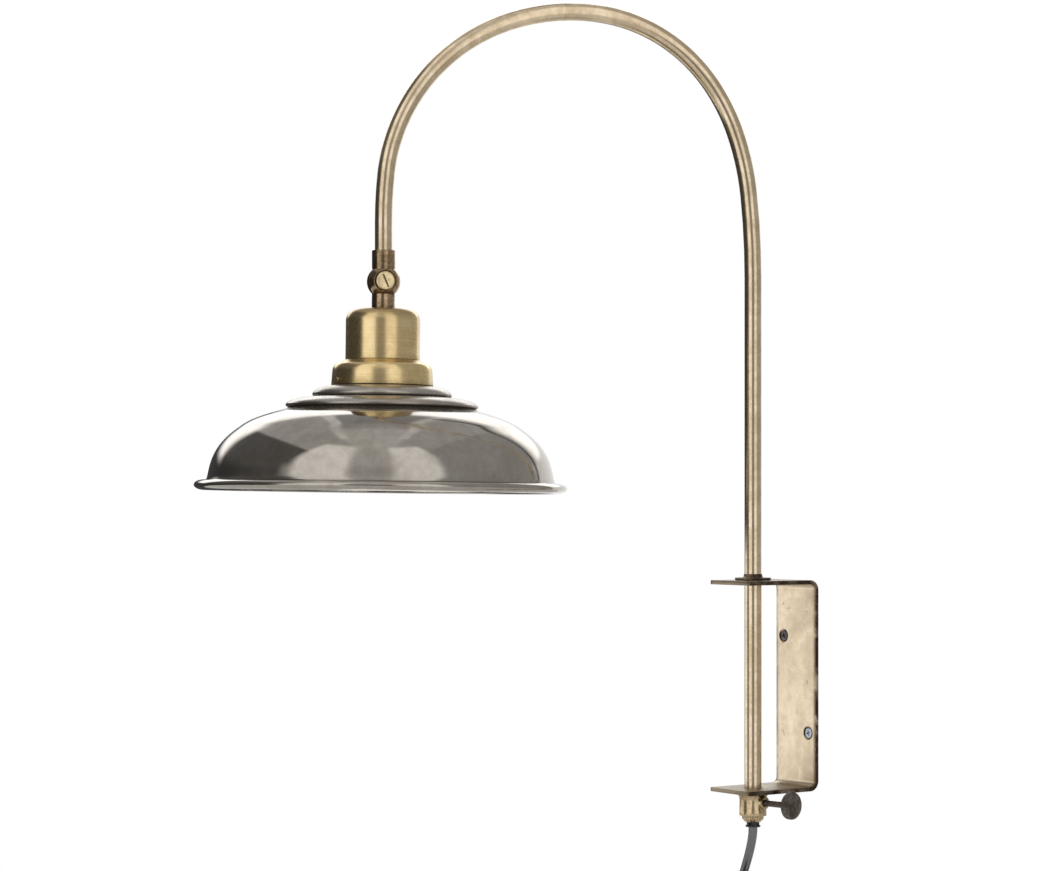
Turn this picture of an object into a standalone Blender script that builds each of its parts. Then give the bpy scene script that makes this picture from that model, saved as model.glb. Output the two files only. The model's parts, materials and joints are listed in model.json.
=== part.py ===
"""Swing arm wall sconce: a hooked tube that swings in a wall bracket and carries a tilting spun shade.

Metres, +Z up. The wall is the plane Y = 0 and the room is towards -Y.
The origin is the centre of the bracket's back face.
"""

import math

import bmesh
import bpy
from mathutils import Matrix, Vector

# Fits
JOINT_GAP = 0.0003            # left between pieces that touch
RUNNING_GAP = 0.0003          # round the tube where it turns

# Wall bracket: a strip bent into a U
BRACKET_HEIGHT = 0.175
BRACKET_WIDTH = 0.050
BRACKET_DEPTH = 0.075
STRIP_THICKNESS = 0.0035
BEND_INNER_RADIUS = 0.005
STRIP_EDGE_ROUND = 0.0006
WALL_SCREW_ACROSS = 0.0155    # from the bracket's middle
WALL_SCREW_UP = 0.040
COUNTERSINK_DIAMETER = 0.0115
COUNTERSINK_DEPTH = 0.0026
WALL_SCREW_HEAD = 0.0086
WALL_SCREW_SHANK = 0.0042
WALL_SCREW_SUNK = 0.0005
WALL_SCREW_HEAD_HEIGHT = 0.0020
CROSS_LENGTH = 0.0052
CROSS_WIDTH = 0.0011
CROSS_DEPTH = 0.0012

# Hooked tube: the bend is a run of tangent arcs, from the bracket's side over to the shade's side
TUBE_DIAMETER = 0.014
TUBE_WALL = 0.0012
TUBE_FROM_WALL = 0.050
TUBE_BELOW_FLANGE = 0.0185
BEND_START_HEIGHT = 0.337
BEND_ARCS = (                 # radius in metres, turn in degrees
    (0.658, 6),
    (0.219, 14),
    (0.159, 16),
    (0.133, 48),
    (0.171, 28),
    (0.153, 50),
    (0.139, 12),
    (0.377, 6),
)
SHADE_LEG_LENGTH = 0.0327
DEGREES_PER_SECTION = 8
TUBE_SIDES = 16
REST_SWING = -23.7            # degrees from straight out of the wall

# Stop washer
WASHER_DIAMETER = 0.0297
WASHER_THICKNESS = 0.002
BRAZE_DIAMETER = 0.0185
BRAZE_HEIGHT = 0.003

# Lock collar
COLLAR_FLARE_RADIUS = 0.0158
COLLAR_BODY_RADIUS = 0.0112
COLLAR_HEIGHT = 0.0242
COLLAR_FLARE_HEIGHT = 0.0062
COLLAR_STEP_RADIUS = 0.009
COLLAR_STEP_HEIGHT = 0.0052
COLLAR_NOSE_RADIUS = 0.0066
BOSS_RADIUS = 0.0052
BOSS_REACH = 0.0135
CORD_HOLE_RADIUS = 0.0056

# Thumb screw
THUMB_SCREW_DROP = 0.0083     # below the lower flange
THUMB_SCREW_YAW = 10.0        # degrees from +X towards the wall
THUMB_SHANK_RADIUS = 0.0026
KNOB_RADIUS = 0.0112
KNOB_THICKNESS = 0.005
KNOB_CENTRE = 0.0405          # from the tube's axis
KNOB_EDGE_ROUND = 0.0007

# Cord bush
BUSH_RADIUS = 0.0052
BUSH_BORE = 0.0042
BUSH_BRIM_RADIUS = 0.0062
BUSH_BRIM_THICKNESS = 0.0014
BUSH_SHOWS = 0.0028           # between the collar's nose and the brim
BUSH_LENGTH = 0.0075
BUSH_SLIT = 0.0026

# Tilting knuckle
BALL_RADIUS = 0.0135
KNUCKLE_COLLAR_RADIUS = 0.00935
KNUCKLE_COLLAR_TOP = 0.0252   # above the pivot
KNUCKLE_BORE_BOTTOM = 0.0148
TONGUE_THICKNESS = 0.005
TONGUE_RADIUS = 0.0123
FRICTION_WASHER_THICKNESS = 0.0005
FRICTION_WASHER_RADIUS = 0.008
SIDE_PLAY = 0.0002
SLOT_TOP = 0.0108
NECK_SEAT_GAP = 0.0003
NECK_BOTTOM = -0.0219
NECK_RADIUS = 0.0093
PIVOT_RADIUS = 0.0025
PIVOT_HEAD_RADIUS = 0.0075
PIVOT_HEAD_HEIGHT = 0.0022
PIVOT_HEAD_SEAT = 0.0099
PIVOT_DRIVER_SLOT = 0.0012
PIVOT_DRIVER_DEPTH = 0.0009
PIVOT_DRIVER_LEAN = 22.6      # degrees
PIVOT_NUT_RADIUS = 0.0046
PIVOT_NUT_HEIGHT = 0.0032
PIVOT_NUT_SEAT = 0.0099
REST_TILT = -0.7              # degrees, negative tips the shade outwards

# Holder cup, gallery and their screws (heights are below the pivot)
CUP_RADIUS = 0.0299
CUP_TOP = -0.0222
CUP_BOTTOM = -0.0628
CUP_SHOULDER = 0.0096
SPUN_WALL = 0.001
NIPPLE_RADIUS = 0.005
NIPPLE_END = -0.034
NIPPLE_BORE = 0.0032
LOCK_NUT_RADIUS = 0.0085
LOCK_NUT_HEIGHT = 0.003
GALLERY_RADIUS = 0.0403
GALLERY_FLARE = 0.0008
GALLERY_BOTTOM = -0.0836
GALLERY_SHOULDER_DROP = 0.0100
GALLERY_ROUND_HEIGHT = 0.0072
GALLERY_WALL = 0.001
GALLERY_SCREW_HEIGHT = -0.0800
GALLERY_SCREW_HEAD_RADIUS = 0.0016
GALLERY_SCREW_HEAD_LENGTH = 0.0010
GALLERY_SCREW_SHANK = 0.0013
GALLERY_SCREW_ANGLES = (203, 293, 113)

# Shade, a spun dome in tiers
SHADE_WALL = 0.0011
SHADE_NECK_RADIUS = 0.0380
SHADE_NECK_TOP = -0.0735
SHADE_TIERS = (               # radius, height below the pivot
    (SHADE_NECK_RADIUS, -0.0835),
    (0.0412, -0.0841),
    (0.0460, -0.0848),
    (0.0505, -0.0861),
    (0.0540, -0.0881),
    (0.0557, -0.0901),
    (0.0560, -0.0914),
    (0.0553, -0.0927),
    (0.0538, -0.0934),
    (0.0600, -0.0937),
    (0.0665, -0.0946),
    (0.0720, -0.0960),
    (0.0757, -0.0978),
    (0.0774, -0.0996),
    (0.0769, -0.1011),
    (0.0748, -0.1020),
)
SHADE_DOME = (
    (0.0800, -0.1042),
    (0.0905, -0.1073),
    (0.1010, -0.1110),
    (0.1090, -0.1150),
    (0.1154, -0.1195),
    (0.1218, -0.1246),
    (0.1271, -0.1300),
    (0.1315, -0.1360),
    (0.1348, -0.1423),
    (0.1372, -0.1495),
    (0.1388, -0.1570),
    (0.1393, -0.1592),
)
SHADE_LIP_RADIUS = 0.150
RIM_ROLL_WIDTH = 0.0076       # the rolled rim is a flattened bead; these are half sizes
RIM_ROLL_HEIGHT = 0.0041
RIM_ROLL_CENTRE = -0.1650
SHADE_SECTIONS = 36

# Bulb holder
HOLDER_TOP = -0.030
HOLDER_SOCKET_DEPTH = 0.006
HOLDER_CAP_RADIUS = 0.0155
HOLDER_CAP_DROP = 0.003
HOLDER_BODY_TOP = -0.040
HOLDER_BOTTOM = -0.0920
HOLDER_BODY_RADIUS = 0.0225
HOLDER_SKIRT_RADIUS = 0.0196
HOLDER_CAVITY_RADIUS = 0.0145
HOLDER_CAVITY_TOP = -0.0580
SCREW_SHELL_WALL = 0.0006
SCREW_SHELL_SHORT = 0.003     # above the holder's mouth
CONTACT_RADIUS = 0.004
CONTACT_HEIGHT = 0.003
CLAMP_RING_RADIUS = 0.026
CLAMP_RING_HEIGHT = 0.006

# Flex and cord
INNER_FLEX_RADIUS = 0.0033
LEADS_RADIUS = 0.0026
CORD_WIDTH = 0.0074
COIL_CENTRE = Vector((-0.0013, -0.0461, -0.2132))
COIL_MIDDLE_RADIUS = 0.0427
COIL_BUNDLE = 0.0170          # the bundle of turns, measured across the ring
COIL_BREADTH = 0.0156         # and along its axis
COIL_SECTIONS = 32
TIE_ANGLE = 142.0             # round the coil
TIE_WIDTH = 0.009
TIE_THICKNESS = 0.0009
CORD_DROP = (
    (0.0000, -0.0500, -0.1166),
    (-0.0002, -0.0500, -0.1210),
    (-0.0013, -0.0500, -0.1270),
    (-0.0040, -0.0500, -0.1360),
    (-0.0079, -0.0500, -0.1460),
    (-0.0117, -0.0500, -0.1545),
    (-0.0150, -0.0500, -0.1594),
)
CORD_TAIL = (
    (-0.0502, -0.0422, -0.2400),
    (-0.0500, -0.0422, -0.2470),
    (-0.0494, -0.0422, -0.2560),
    (-0.0488, -0.0422, -0.2640),
    (-0.0486, -0.0422, -0.2700),
)

# Plug
PLUG_RELIEF_LENGTH = 0.022
PLUG_RELIEF_RADIUS = 0.0042
PLUG_SHOULDER_RADIUS = 0.0070
PLUG_BODY_LENGTH = 0.026
PLUG_BODY_WIDTH = 0.024
PLUG_BODY_DEPTH = 0.0160
PLUG_CORNER = 0.005
BLADE_LENGTH = 0.016
BLADE_WIDTH = 0.0063
BLADE_THICKNESS = 0.0015
BLADE_SPACING = 0.0127

# Finishes: base colour, metallic value, roughness
FINISHES = {
    "antique_brass": ((0.42, 0.34, 0.22), 1.0, 0.34),
    "satin_brass": ((0.60, 0.49, 0.28), 1.0, 0.30),
    "pale_brass": ((0.62, 0.54, 0.42), 1.0, 0.42),
    "dark_brass": ((0.26, 0.18, 0.11), 1.0, 0.38),
    "screw_brass": ((0.70, 0.58, 0.33), 1.0, 0.28),
    "dark_steel": ((0.10, 0.085, 0.08), 0.8, 0.5),
    "zinc_steel": ((0.55, 0.58, 0.62), 1.0, 0.35),
    "polished_pewter": ((0.46, 0.44, 0.42), 1.0, 0.10),
    "black_phenolic": ((0.02, 0.02, 0.02), 0.0, 0.35),
    "black_rubber": ((0.012, 0.012, 0.014), 0.0, 0.45),
    "black_flex": ((0.010, 0.010, 0.012), 0.0, 0.25),
    "bare_brass": ((0.72, 0.58, 0.32), 1.0, 0.25),
    "fibre": ((0.35, 0.12, 0.06), 0.0, 0.7),
}


def clear_scene():
    for item in list(bpy.data.objects):
        bpy.data.objects.remove(item, do_unlink=True)


def make_materials():
    made = {}
    for name, (colour, metallic, roughness) in FINISHES.items():
        finish = bpy.data.materials.new(name)
        finish.use_nodes = True
        shader = finish.node_tree.nodes["Principled BSDF"]
        shader.inputs["Base Color"].default_value = (*colour, 1.0)
        shader.inputs["Metallic"].default_value = metallic
        shader.inputs["Roughness"].default_value = roughness
        made[name] = finish
    return made


def add_empty(name, location, rotation, parent=None):
    empty = bpy.data.objects.new(name, None)
    empty.location = location
    empty.rotation_euler = [math.radians(angle) for angle in rotation]
    empty.parent = parent
    bpy.context.collection.objects.link(empty)
    return empty


def add_piece(name, mesh, finish, parent=None, location=(0, 0, 0), rotation=(0, 0, 0)):
    """Turn a bmesh into a named object; rotation is in degrees."""
    bmesh.ops.remove_doubles(mesh, verts=mesh.verts, dist=1e-7)
    bmesh.ops.recalc_face_normals(mesh, faces=mesh.faces)
    data = bpy.data.meshes.new(name)
    mesh.to_mesh(data)
    mesh.free()
    data.shade_smooth()
    data.set_sharp_from_angle(angle=math.radians(35))
    piece = bpy.data.objects.new(name, data)
    piece.parent = parent
    piece.location = location
    piece.rotation_euler = [math.radians(angle) for angle in rotation]
    if finish:
        data.materials.append(MATERIALS[finish])
    bpy.context.collection.objects.link(piece)
    return piece


def combine(piece, other, operation):
    """Cut another shape out of a piece, or join it on; the other shape is only a guide."""
    other.hide_render = True
    other.display_type = "WIRE"
    boolean = piece.modifiers.new(other.name, "BOOLEAN")
    boolean.operation = operation
    boolean.solver = "EXACT"
    boolean.object = other


def cut(piece, cutter):
    combine(piece, cutter, "DIFFERENCE")


def join(piece, addition):
    combine(piece, addition, "UNION")


def arc(centre, radius, start, end, steps):
    """Points on a circle in the plane of an outline, from one angle to another in degrees."""
    points = []
    for step in range(steps + 1):
        angle = math.radians(start + (end - start) * step / steps)
        points.append((centre[0] + radius * math.cos(angle), centre[1] + radius * math.sin(angle)))
    return points


def offset_line(points, distance):
    """A line beside an outline, on its right-hand side, at an even distance."""
    moved = []
    for index, point in enumerate(points):
        here = Vector(point)
        before = here - Vector(points[index - 1]) if index else None
        after = Vector(points[index + 1]) - here if index + 1 < len(points) else None
        first = (before or after).normalized()
        second = (after or before).normalized()
        side = (Vector((first.y, -first.x)) + Vector((second.y, -second.x))).normalized()
        reach = distance / max(0.5, side.dot(Vector((first.y, -first.x))))
        moved.append(tuple(here + side * reach))
    return moved


def shell(outer, wall):
    """A closed outline of even thickness, from an outer line that runs outwards and down."""
    return outer + offset_line(outer, wall)[::-1]


def turned_mesh(outline, sections):
    """Spin an outline of (radius, height) points about Z; ends on the axis close it."""
    mesh = bmesh.new()
    corners = [mesh.verts.new((radius, 0, height)) for radius, height in outline]
    pairs = list(zip(corners, corners[1:]))
    if outline[0][0] > 0:
        pairs.append((corners[-1], corners[0]))
    edges = [mesh.edges.new(pair) for pair in pairs]
    bmesh.ops.spin(
        mesh,
        geom=corners + edges,
        axis=(0, 0, 1),
        cent=(0, 0, 0),
        angle=math.tau,
        steps=sections,
        use_merge=True,
    )
    return mesh


def turned(name, outline, finish, sections=24, **place):
    return add_piece(name, turned_mesh(outline, sections), finish, **place)


def cylinder(name, radius, low, high, finish=None, sections=16, **place):
    """A plain rod between two heights of its own Z axis."""
    return turned(name, [(0, low), (radius, low), (radius, high), (0, high)], finish, sections, **place)


def extruded(name, outline, depth, finish=None, **place):
    """A flat outline in the YZ plane, given depth along X about its middle."""
    mesh = bmesh.new()
    face = mesh.faces.new([mesh.verts.new((-depth / 2, y, z)) for y, z in outline])
    grown = bmesh.ops.extrude_face_region(mesh, geom=[face])
    moved = [item for item in grown["geom"] if isinstance(item, bmesh.types.BMVert)]
    bmesh.ops.translate(mesh, verts=moved, vec=(depth, 0, 0))
    return add_piece(name, mesh, finish, **place)


def hex_nut(name, radius, bore, low, high, finish, parent, rotation=(0, 0, 0)):
    """A six-sided nut with a round bore."""
    nut = cylinder(name, radius, low, high, finish, 6, parent=parent, rotation=rotation)
    over = bore / 2
    hole = cylinder(name + "_bore", bore, low - over, high + over, parent=parent, rotation=rotation)
    cut(nut, hole)


def block(name, size, centre, finish=None, **place):
    mesh = bmesh.new()
    bmesh.ops.create_cube(mesh, size=1, matrix=Matrix.Translation(centre) @ Matrix.Diagonal((*size, 1)))
    return add_piece(name, mesh, finish, **place)


def cable(name, points, radius, finish, parent=None):
    """A round flex: a curve with a bevel and filled ends."""
    data = bpy.data.curves.new(name, "CURVE")
    data.dimensions = "3D"
    data.bevel_depth = radius
    data.bevel_resolution = 2
    data.use_fill_caps = True
    spline = data.splines.new("POLY")
    spline.points.add(len(points) - 1)
    for point, place in zip(spline.points, points):
        point.co = (*place, 1)
    data.materials.append(MATERIALS[finish])
    piece = bpy.data.objects.new(name, data)
    piece.parent = parent
    bpy.context.collection.objects.link(piece)
    return piece


def smooth_route(points, per_span):
    """A smooth curve through a route's own points."""
    route = []
    ends = [Vector(points[0]) * 2 - Vector(points[1])]
    guides = ends + [Vector(point) for point in points] + [Vector(points[-1]) * 2 - Vector(points[-2])]
    for index in range(1, len(guides) - 2):
        a, b, c, d = guides[index - 1:index + 3]
        for step in range(per_span):
            t = step / per_span
            middle = (c - a) * t + (a * 2 - b * 5 + c * 4 - d) * t ** 2 + (b * 3 - a - c * 3 + d) * t ** 3
            route.append(b + middle / 2)
    return route + [Vector(points[-1])]


def bend_sections():
    """Centre and lean of each section of the tube, in the arm's plane: out from the wall and up."""
    out, up, lean = 0.0, BEND_START_HEIGHT, 0.0
    sections = [(out, up, lean)]
    for radius, turn in BEND_ARCS:
        steps = max(1, round(turn / DEGREES_PER_SECTION))
        start = math.radians(lean)
        for step in range(1, steps + 1):
            angle = math.radians(lean + turn * step / steps)
            sections.append(
                (
                    out + radius * (math.cos(start) - math.cos(angle)),
                    up + radius * (math.sin(angle) - math.sin(start)),
                    math.degrees(angle),
                )
            )
        out, up, lean = sections[-1]
    return sections


TUBE_RADIUS = TUBE_DIAMETER / 2
TUBE_BORE = TUBE_RADIUS - TUBE_WALL
RUNNING_RADIUS = TUBE_RADIUS + RUNNING_GAP
FLANGE_TOP = BRACKET_HEIGHT / 2
FLANGE_BOTTOM = -FLANGE_TOP
COLLAR_TOP = FLANGE_BOTTOM - JOINT_GAP
COLLAR_BOTTOM = COLLAR_TOP - COLLAR_HEIGHT
TUBE_BOTTOM = FLANGE_BOTTOM - TUBE_BELOW_FLANGE
BEND = bend_sections()
REACH, BEND_END_HEIGHT, LAST_LEAN = BEND[-1]
PIVOT_HEIGHT = BEND_END_HEIGHT - SHADE_LEG_LENGTH - KNUCKLE_BORE_BOTTOM - JOINT_GAP
LEADS_TOP = -BALL_RADIUS - 8 * JOINT_GAP
SLOT_WIDTH = TONGUE_THICKNESS + 2 * FRICTION_WASHER_THICKNESS + 4 * SIDE_PLAY


def build_bracket():
    outer = BEND_INNER_RADIUS + STRIP_THICKNESS
    corner = (-outer, FLANGE_TOP - outer)
    lower = (-outer, FLANGE_BOTTOM + outer)
    outline = [(-BRACKET_DEPTH, FLANGE_TOP)]
    outline += arc(corner, outer, 90, 0, 6)
    outline += arc(lower, outer, 0, -90, 6)
    outline += [(-BRACKET_DEPTH, FLANGE_BOTTOM), (-BRACKET_DEPTH, FLANGE_BOTTOM + STRIP_THICKNESS)]
    outline += arc(lower, BEND_INNER_RADIUS, -90, 0, 6)
    outline += arc(corner, BEND_INNER_RADIUS, 0, 90, 6)
    outline += [(-BRACKET_DEPTH, FLANGE_TOP - STRIP_THICKNESS)]
    bracket = extruded("bracket", outline, BRACKET_WIDTH, "antique_brass")
    edges = bracket.modifiers.new("edge_round", "BEVEL")
    edges.width = STRIP_EDGE_ROUND
    edges.segments = 1
    edges.limit_method = "ANGLE"
    edges.angle_limit = math.radians(60)
    tall = BRACKET_HEIGHT
    cut(bracket, cylinder("tube_holes", RUNNING_RADIUS, -tall, tall, location=(0, -TUBE_FROM_WALL, 0)))
    for name, side in (("upper", -1), ("lower", 1)):
        build_wall_screw(bracket, name, (side * WALL_SCREW_ACROSS, 0, -side * WALL_SCREW_UP))


def build_wall_screw(bracket, name, place):
    """A countersunk screw; its own Z axis points into the room, and it ends flush with the wall."""
    face = STRIP_THICKNESS
    sink = COUNTERSINK_DIAMETER / 2
    hole = WALL_SCREW_SHANK / 2 + JOINT_GAP
    turn = {"location": place, "rotation": (90, 0, 0)}
    over = 0.001
    countersink = [
        (0, -over),
        (hole, -over),
        (hole, face - COUNTERSINK_DEPTH),
        (sink, face),
        (sink, face + over),
        (0, face + over),
    ]
    cut(bracket, turned("countersink_" + name, countersink, None, 24, **turn))
    head = face - WALL_SCREW_SUNK
    shank = WALL_SCREW_SHANK / 2
    outline = [
        (0, 0),
        (shank, 0),
        (shank, head - WALL_SCREW_HEAD_HEIGHT),
        (WALL_SCREW_HEAD / 2, head - JOINT_GAP),
        (WALL_SCREW_HEAD / 2 - JOINT_GAP, head),
        (0, head),
    ]
    finish = "dark_steel" if name == "upper" else "zinc_steel"
    screw = turned("wall_screw_" + name, outline, finish, 24, **turn)
    for suffix, size in (("a", (CROSS_LENGTH, CROSS_WIDTH)), ("b", (CROSS_WIDTH, CROSS_LENGTH))):
        depth = CROSS_DEPTH * 2
        cut(screw, block(f"cross_{name}_{suffix}", (*size, depth), (0, 0, head), **turn))


def build_lock_collar():
    axis = {"location": (0, -TUBE_FROM_WALL, 0), "rotation": (0, 0, THUMB_SCREW_YAW)}
    flare = COLLAR_TOP - COLLAR_FLARE_HEIGHT
    step = COLLAR_BOTTOM + COLLAR_STEP_HEIGHT
    spread = COLLAR_FLARE_RADIUS - COLLAR_BODY_RADIUS
    cove = [
        (COLLAR_FLARE_RADIUS - spread * math.sin(angle), flare + COLLAR_FLARE_HEIGHT * math.cos(angle))
        for angle in (math.radians(90 * index / 5) for index in range(6))
    ]
    outline = [(RUNNING_RADIUS, COLLAR_TOP)]
    outline += cove
    outline += [
        (COLLAR_BODY_RADIUS, step),
        (COLLAR_STEP_RADIUS, step - JOINT_GAP),
        (COLLAR_STEP_RADIUS, step - COLLAR_STEP_HEIGHT / 2),
        (COLLAR_NOSE_RADIUS, COLLAR_BOTTOM),
        (CORD_HOLE_RADIUS, COLLAR_BOTTOM),
        (CORD_HOLE_RADIUS, TUBE_BOTTOM - JOINT_GAP),
        (RUNNING_RADIUS, TUBE_BOTTOM - JOINT_GAP),
    ]
    collar = turned("lock_collar", outline, "dark_brass", 28, **axis)
    place = {"location": THUMB_SCREW_PLACE, "rotation": (0, 90, THUMB_SCREW_YAW)}
    boss_start = (COLLAR_BODY_RADIUS + RUNNING_RADIUS) / 2
    join(collar, cylinder("boss", BOSS_RADIUS, boss_start, BOSS_REACH, sections=20, **place))
    hole = THUMB_SHANK_RADIUS + JOINT_GAP
    cut(collar, cylinder("thumb_hole", hole, 0.001, BOSS_REACH + 0.001, sections=16, **place))


def build_thumb_screw():
    """The shank's tip stops just short of the tube; the screw's own Z axis is its axis."""
    tip = TUBE_RADIUS + JOINT_GAP
    near = KNOB_CENTRE - KNOB_THICKNESS / 2
    far = KNOB_CENTRE + KNOB_THICKNESS / 2
    edge = KNOB_EDGE_ROUND
    outline = [
        (0, tip),
        (THUMB_SHANK_RADIUS - edge, tip),
        (THUMB_SHANK_RADIUS, tip + edge),
        (THUMB_SHANK_RADIUS, near),
        (KNOB_RADIUS - edge, near),
        (KNOB_RADIUS, near + edge),
        (KNOB_RADIUS, far - edge),
        (KNOB_RADIUS - edge, far),
        (0, far),
    ]
    place = {"location": THUMB_SCREW_PLACE, "rotation": (0, 90, THUMB_SCREW_YAW)}
    turned("thumb_screw", outline, "dark_steel", 32, **place)


def build_cord_bush():
    brim_top = COLLAR_BOTTOM - BUSH_SHOWS
    brim_bottom = brim_top - BUSH_BRIM_THICKNESS
    top = brim_bottom + BUSH_LENGTH
    outline = [
        (BUSH_BORE, brim_bottom),
        (BUSH_BRIM_RADIUS, brim_bottom),
        (BUSH_BRIM_RADIUS, brim_top),
        (BUSH_RADIUS, brim_top),
        (BUSH_RADIUS, top),
        (BUSH_BORE, top),
    ]
    axis = {"location": (0, -TUBE_FROM_WALL, 0)}
    bush = turned("cord_bush", outline, "black_rubber", 24, **axis)
    long = 3 * BUSH_RADIUS
    for suffix, size in (("a", (long, BUSH_SLIT)), ("b", (BUSH_SLIT, long))):
        centre = (0, 0, brim_top + BUSH_LENGTH / 2)
        cut(bush, block("slit_" + suffix, (*size, BUSH_LENGTH), centre, rotation=(0, 0, 20), **axis))


def build_arm(arm):
    """The tube is drawn in the arm's own plane: it leans towards -Y and stands up in Z."""
    path = [(0.0, TUBE_BOTTOM, 0.0)] + BEND
    path.append((REACH, BEND_END_HEIGHT - SHADE_LEG_LENGTH, LAST_LEAN))
    mesh = bmesh.new()
    rings = []
    for out, up, lean in path:
        place = Matrix.Translation((0, -out, up)) @ Matrix.Rotation(math.radians(lean), 4, "X")
        for radius in (TUBE_RADIUS, TUBE_BORE):
            ring = bmesh.ops.create_circle(mesh, segments=TUBE_SIDES, radius=radius, matrix=place)
            rings.append(ring["verts"])
    loops = list(zip(rings, rings[2:])) + [(rings[0], rings[1]), (rings[-2], rings[-1])]
    for near, far in loops:
        for side in range(TUBE_SIDES):
            after = (side + 1) % TUBE_SIDES
            mesh.faces.new((near[side], near[after], far[after], far[side]))
    add_piece("arm_tube", mesh, "antique_brass", parent=arm)

    low = FLANGE_TOP + JOINT_GAP
    high = low + WASHER_THICKNESS
    outer = WASHER_DIAMETER / 2
    bead = BRAZE_DIAMETER / 2
    outline = [
        (RUNNING_RADIUS, low),
        (outer, low),
        (outer, high - JOINT_GAP),
        (outer - JOINT_GAP, high),
        (bead, high),
        (RUNNING_RADIUS + (bead - RUNNING_RADIUS) / 3, high + BRAZE_HEIGHT / 2),
        (RUNNING_RADIUS + JOINT_GAP, high + BRAZE_HEIGHT),
        (RUNNING_RADIUS, high + BRAZE_HEIGHT),
    ]
    turned("stop_washer", outline, "antique_brass", 28, parent=arm)

    flex = [(0, 0, TUBE_BOTTOM - TUBE_DIAMETER / 2)] + [(0, -out, up) for out, up, _ in BEND]
    flex.append((0, -REACH, PIVOT_HEIGHT + KNUCKLE_BORE_BOTTOM + 2 * JOINT_GAP))
    cable("inner_flex", flex, INNER_FLEX_RADIUS, "black_flex", parent=arm)


def build_upper_knuckle(pivot):
    """A slotted ball on a collar; the pivot's axis is X."""
    meet = math.asin(KNUCKLE_COLLAR_RADIUS / BALL_RADIUS)
    outline = arc((0, 0), BALL_RADIUS, -90, 90 - math.degrees(meet), 10)
    outline[0] = (0, -BALL_RADIUS)
    chamfer = 2 * JOINT_GAP
    outline += [
        (KNUCKLE_COLLAR_RADIUS, KNUCKLE_COLLAR_TOP - chamfer),
        (KNUCKLE_COLLAR_RADIUS - chamfer, KNUCKLE_COLLAR_TOP),
        (RUNNING_RADIUS, KNUCKLE_COLLAR_TOP),
        (RUNNING_RADIUS, KNUCKLE_BORE_BOTTOM),
        (0, KNUCKLE_BORE_BOTTOM),
    ]
    ball = turned("knuckle_upper", outline, "dark_brass", 32, parent=pivot)
    wide = 2 * BALL_RADIUS
    round_top = TONGUE_RADIUS + 2 * JOINT_GAP
    shoulder = math.degrees(math.asin(min(0.99, SLOT_TOP / round_top)))
    slot = [(-wide, -wide), (wide, -wide), (wide, SLOT_TOP)]
    slot += arc((0, 0), round_top, shoulder, 180 - shoulder, 8)
    slot += [(-wide, SLOT_TOP)]
    cut(ball, extruded("slot", slot, SLOT_WIDTH, parent=pivot))
    sideways = {"parent": pivot, "rotation": (0, 90, 0)}
    hole = PIVOT_RADIUS + JOINT_GAP
    cut(ball, cylinder("pivot_hole", hole, -wide, wide, sections=20, **sideways))
    head_room = PIVOT_HEAD_RADIUS + 2 * JOINT_GAP
    cut(ball, cylinder("head_seat", head_room, PIVOT_HEAD_SEAT, wide, sections=28, **sideways))
    nut_room = PIVOT_NUT_RADIUS + 2 * JOINT_GAP
    cut(ball, cylinder("nut_seat", nut_room, -wide, -PIVOT_NUT_SEAT, sections=24, **sideways))

    head = PIVOT_HEAD_SEAT + JOINT_GAP
    nut = PIVOT_NUT_SEAT + JOINT_GAP
    crown = head + PIVOT_HEAD_HEIGHT
    screw_end = -nut - PIVOT_NUT_HEIGHT - JOINT_GAP
    outline = [
        (0, screw_end),
        (PIVOT_RADIUS, screw_end),
        (PIVOT_RADIUS, head),
        (PIVOT_HEAD_RADIUS, head),
        (PIVOT_HEAD_RADIUS, crown - 2 * JOINT_GAP),
        (PIVOT_HEAD_RADIUS - 3 * JOINT_GAP, crown),
        (0, crown),
    ]
    screw = turned("pivot_screw", outline, "screw_brass", 28, **sideways)
    size = (PIVOT_DRIVER_DEPTH * 2, PIVOT_DRIVER_SLOT, 3 * PIVOT_HEAD_RADIUS)
    lean = {"parent": pivot, "rotation": (PIVOT_DRIVER_LEAN, 0, 0)}
    cut(screw, block("driver_slot", size, (crown, 0, 0), **lean))
    bore = PIVOT_RADIUS + JOINT_GAP
    nut_end = -nut - PIVOT_NUT_HEIGHT
    hex_nut("pivot_nut", PIVOT_NUT_RADIUS, bore, nut_end, -nut, "screw_brass", pivot, (0, 90, 0))
    for name, side in (("near", 1), ("far", -1)):
        close = side * (TONGUE_THICKNESS / 2 + SIDE_PLAY)
        away = close + side * FRICTION_WASHER_THICKNESS
        outline = [
            (bore, close),
            (FRICTION_WASHER_RADIUS, close),
            (FRICTION_WASHER_RADIUS, away),
            (bore, away),
        ]
        turned("friction_washer_" + name, outline, "fibre", 16, **sideways)


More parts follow.
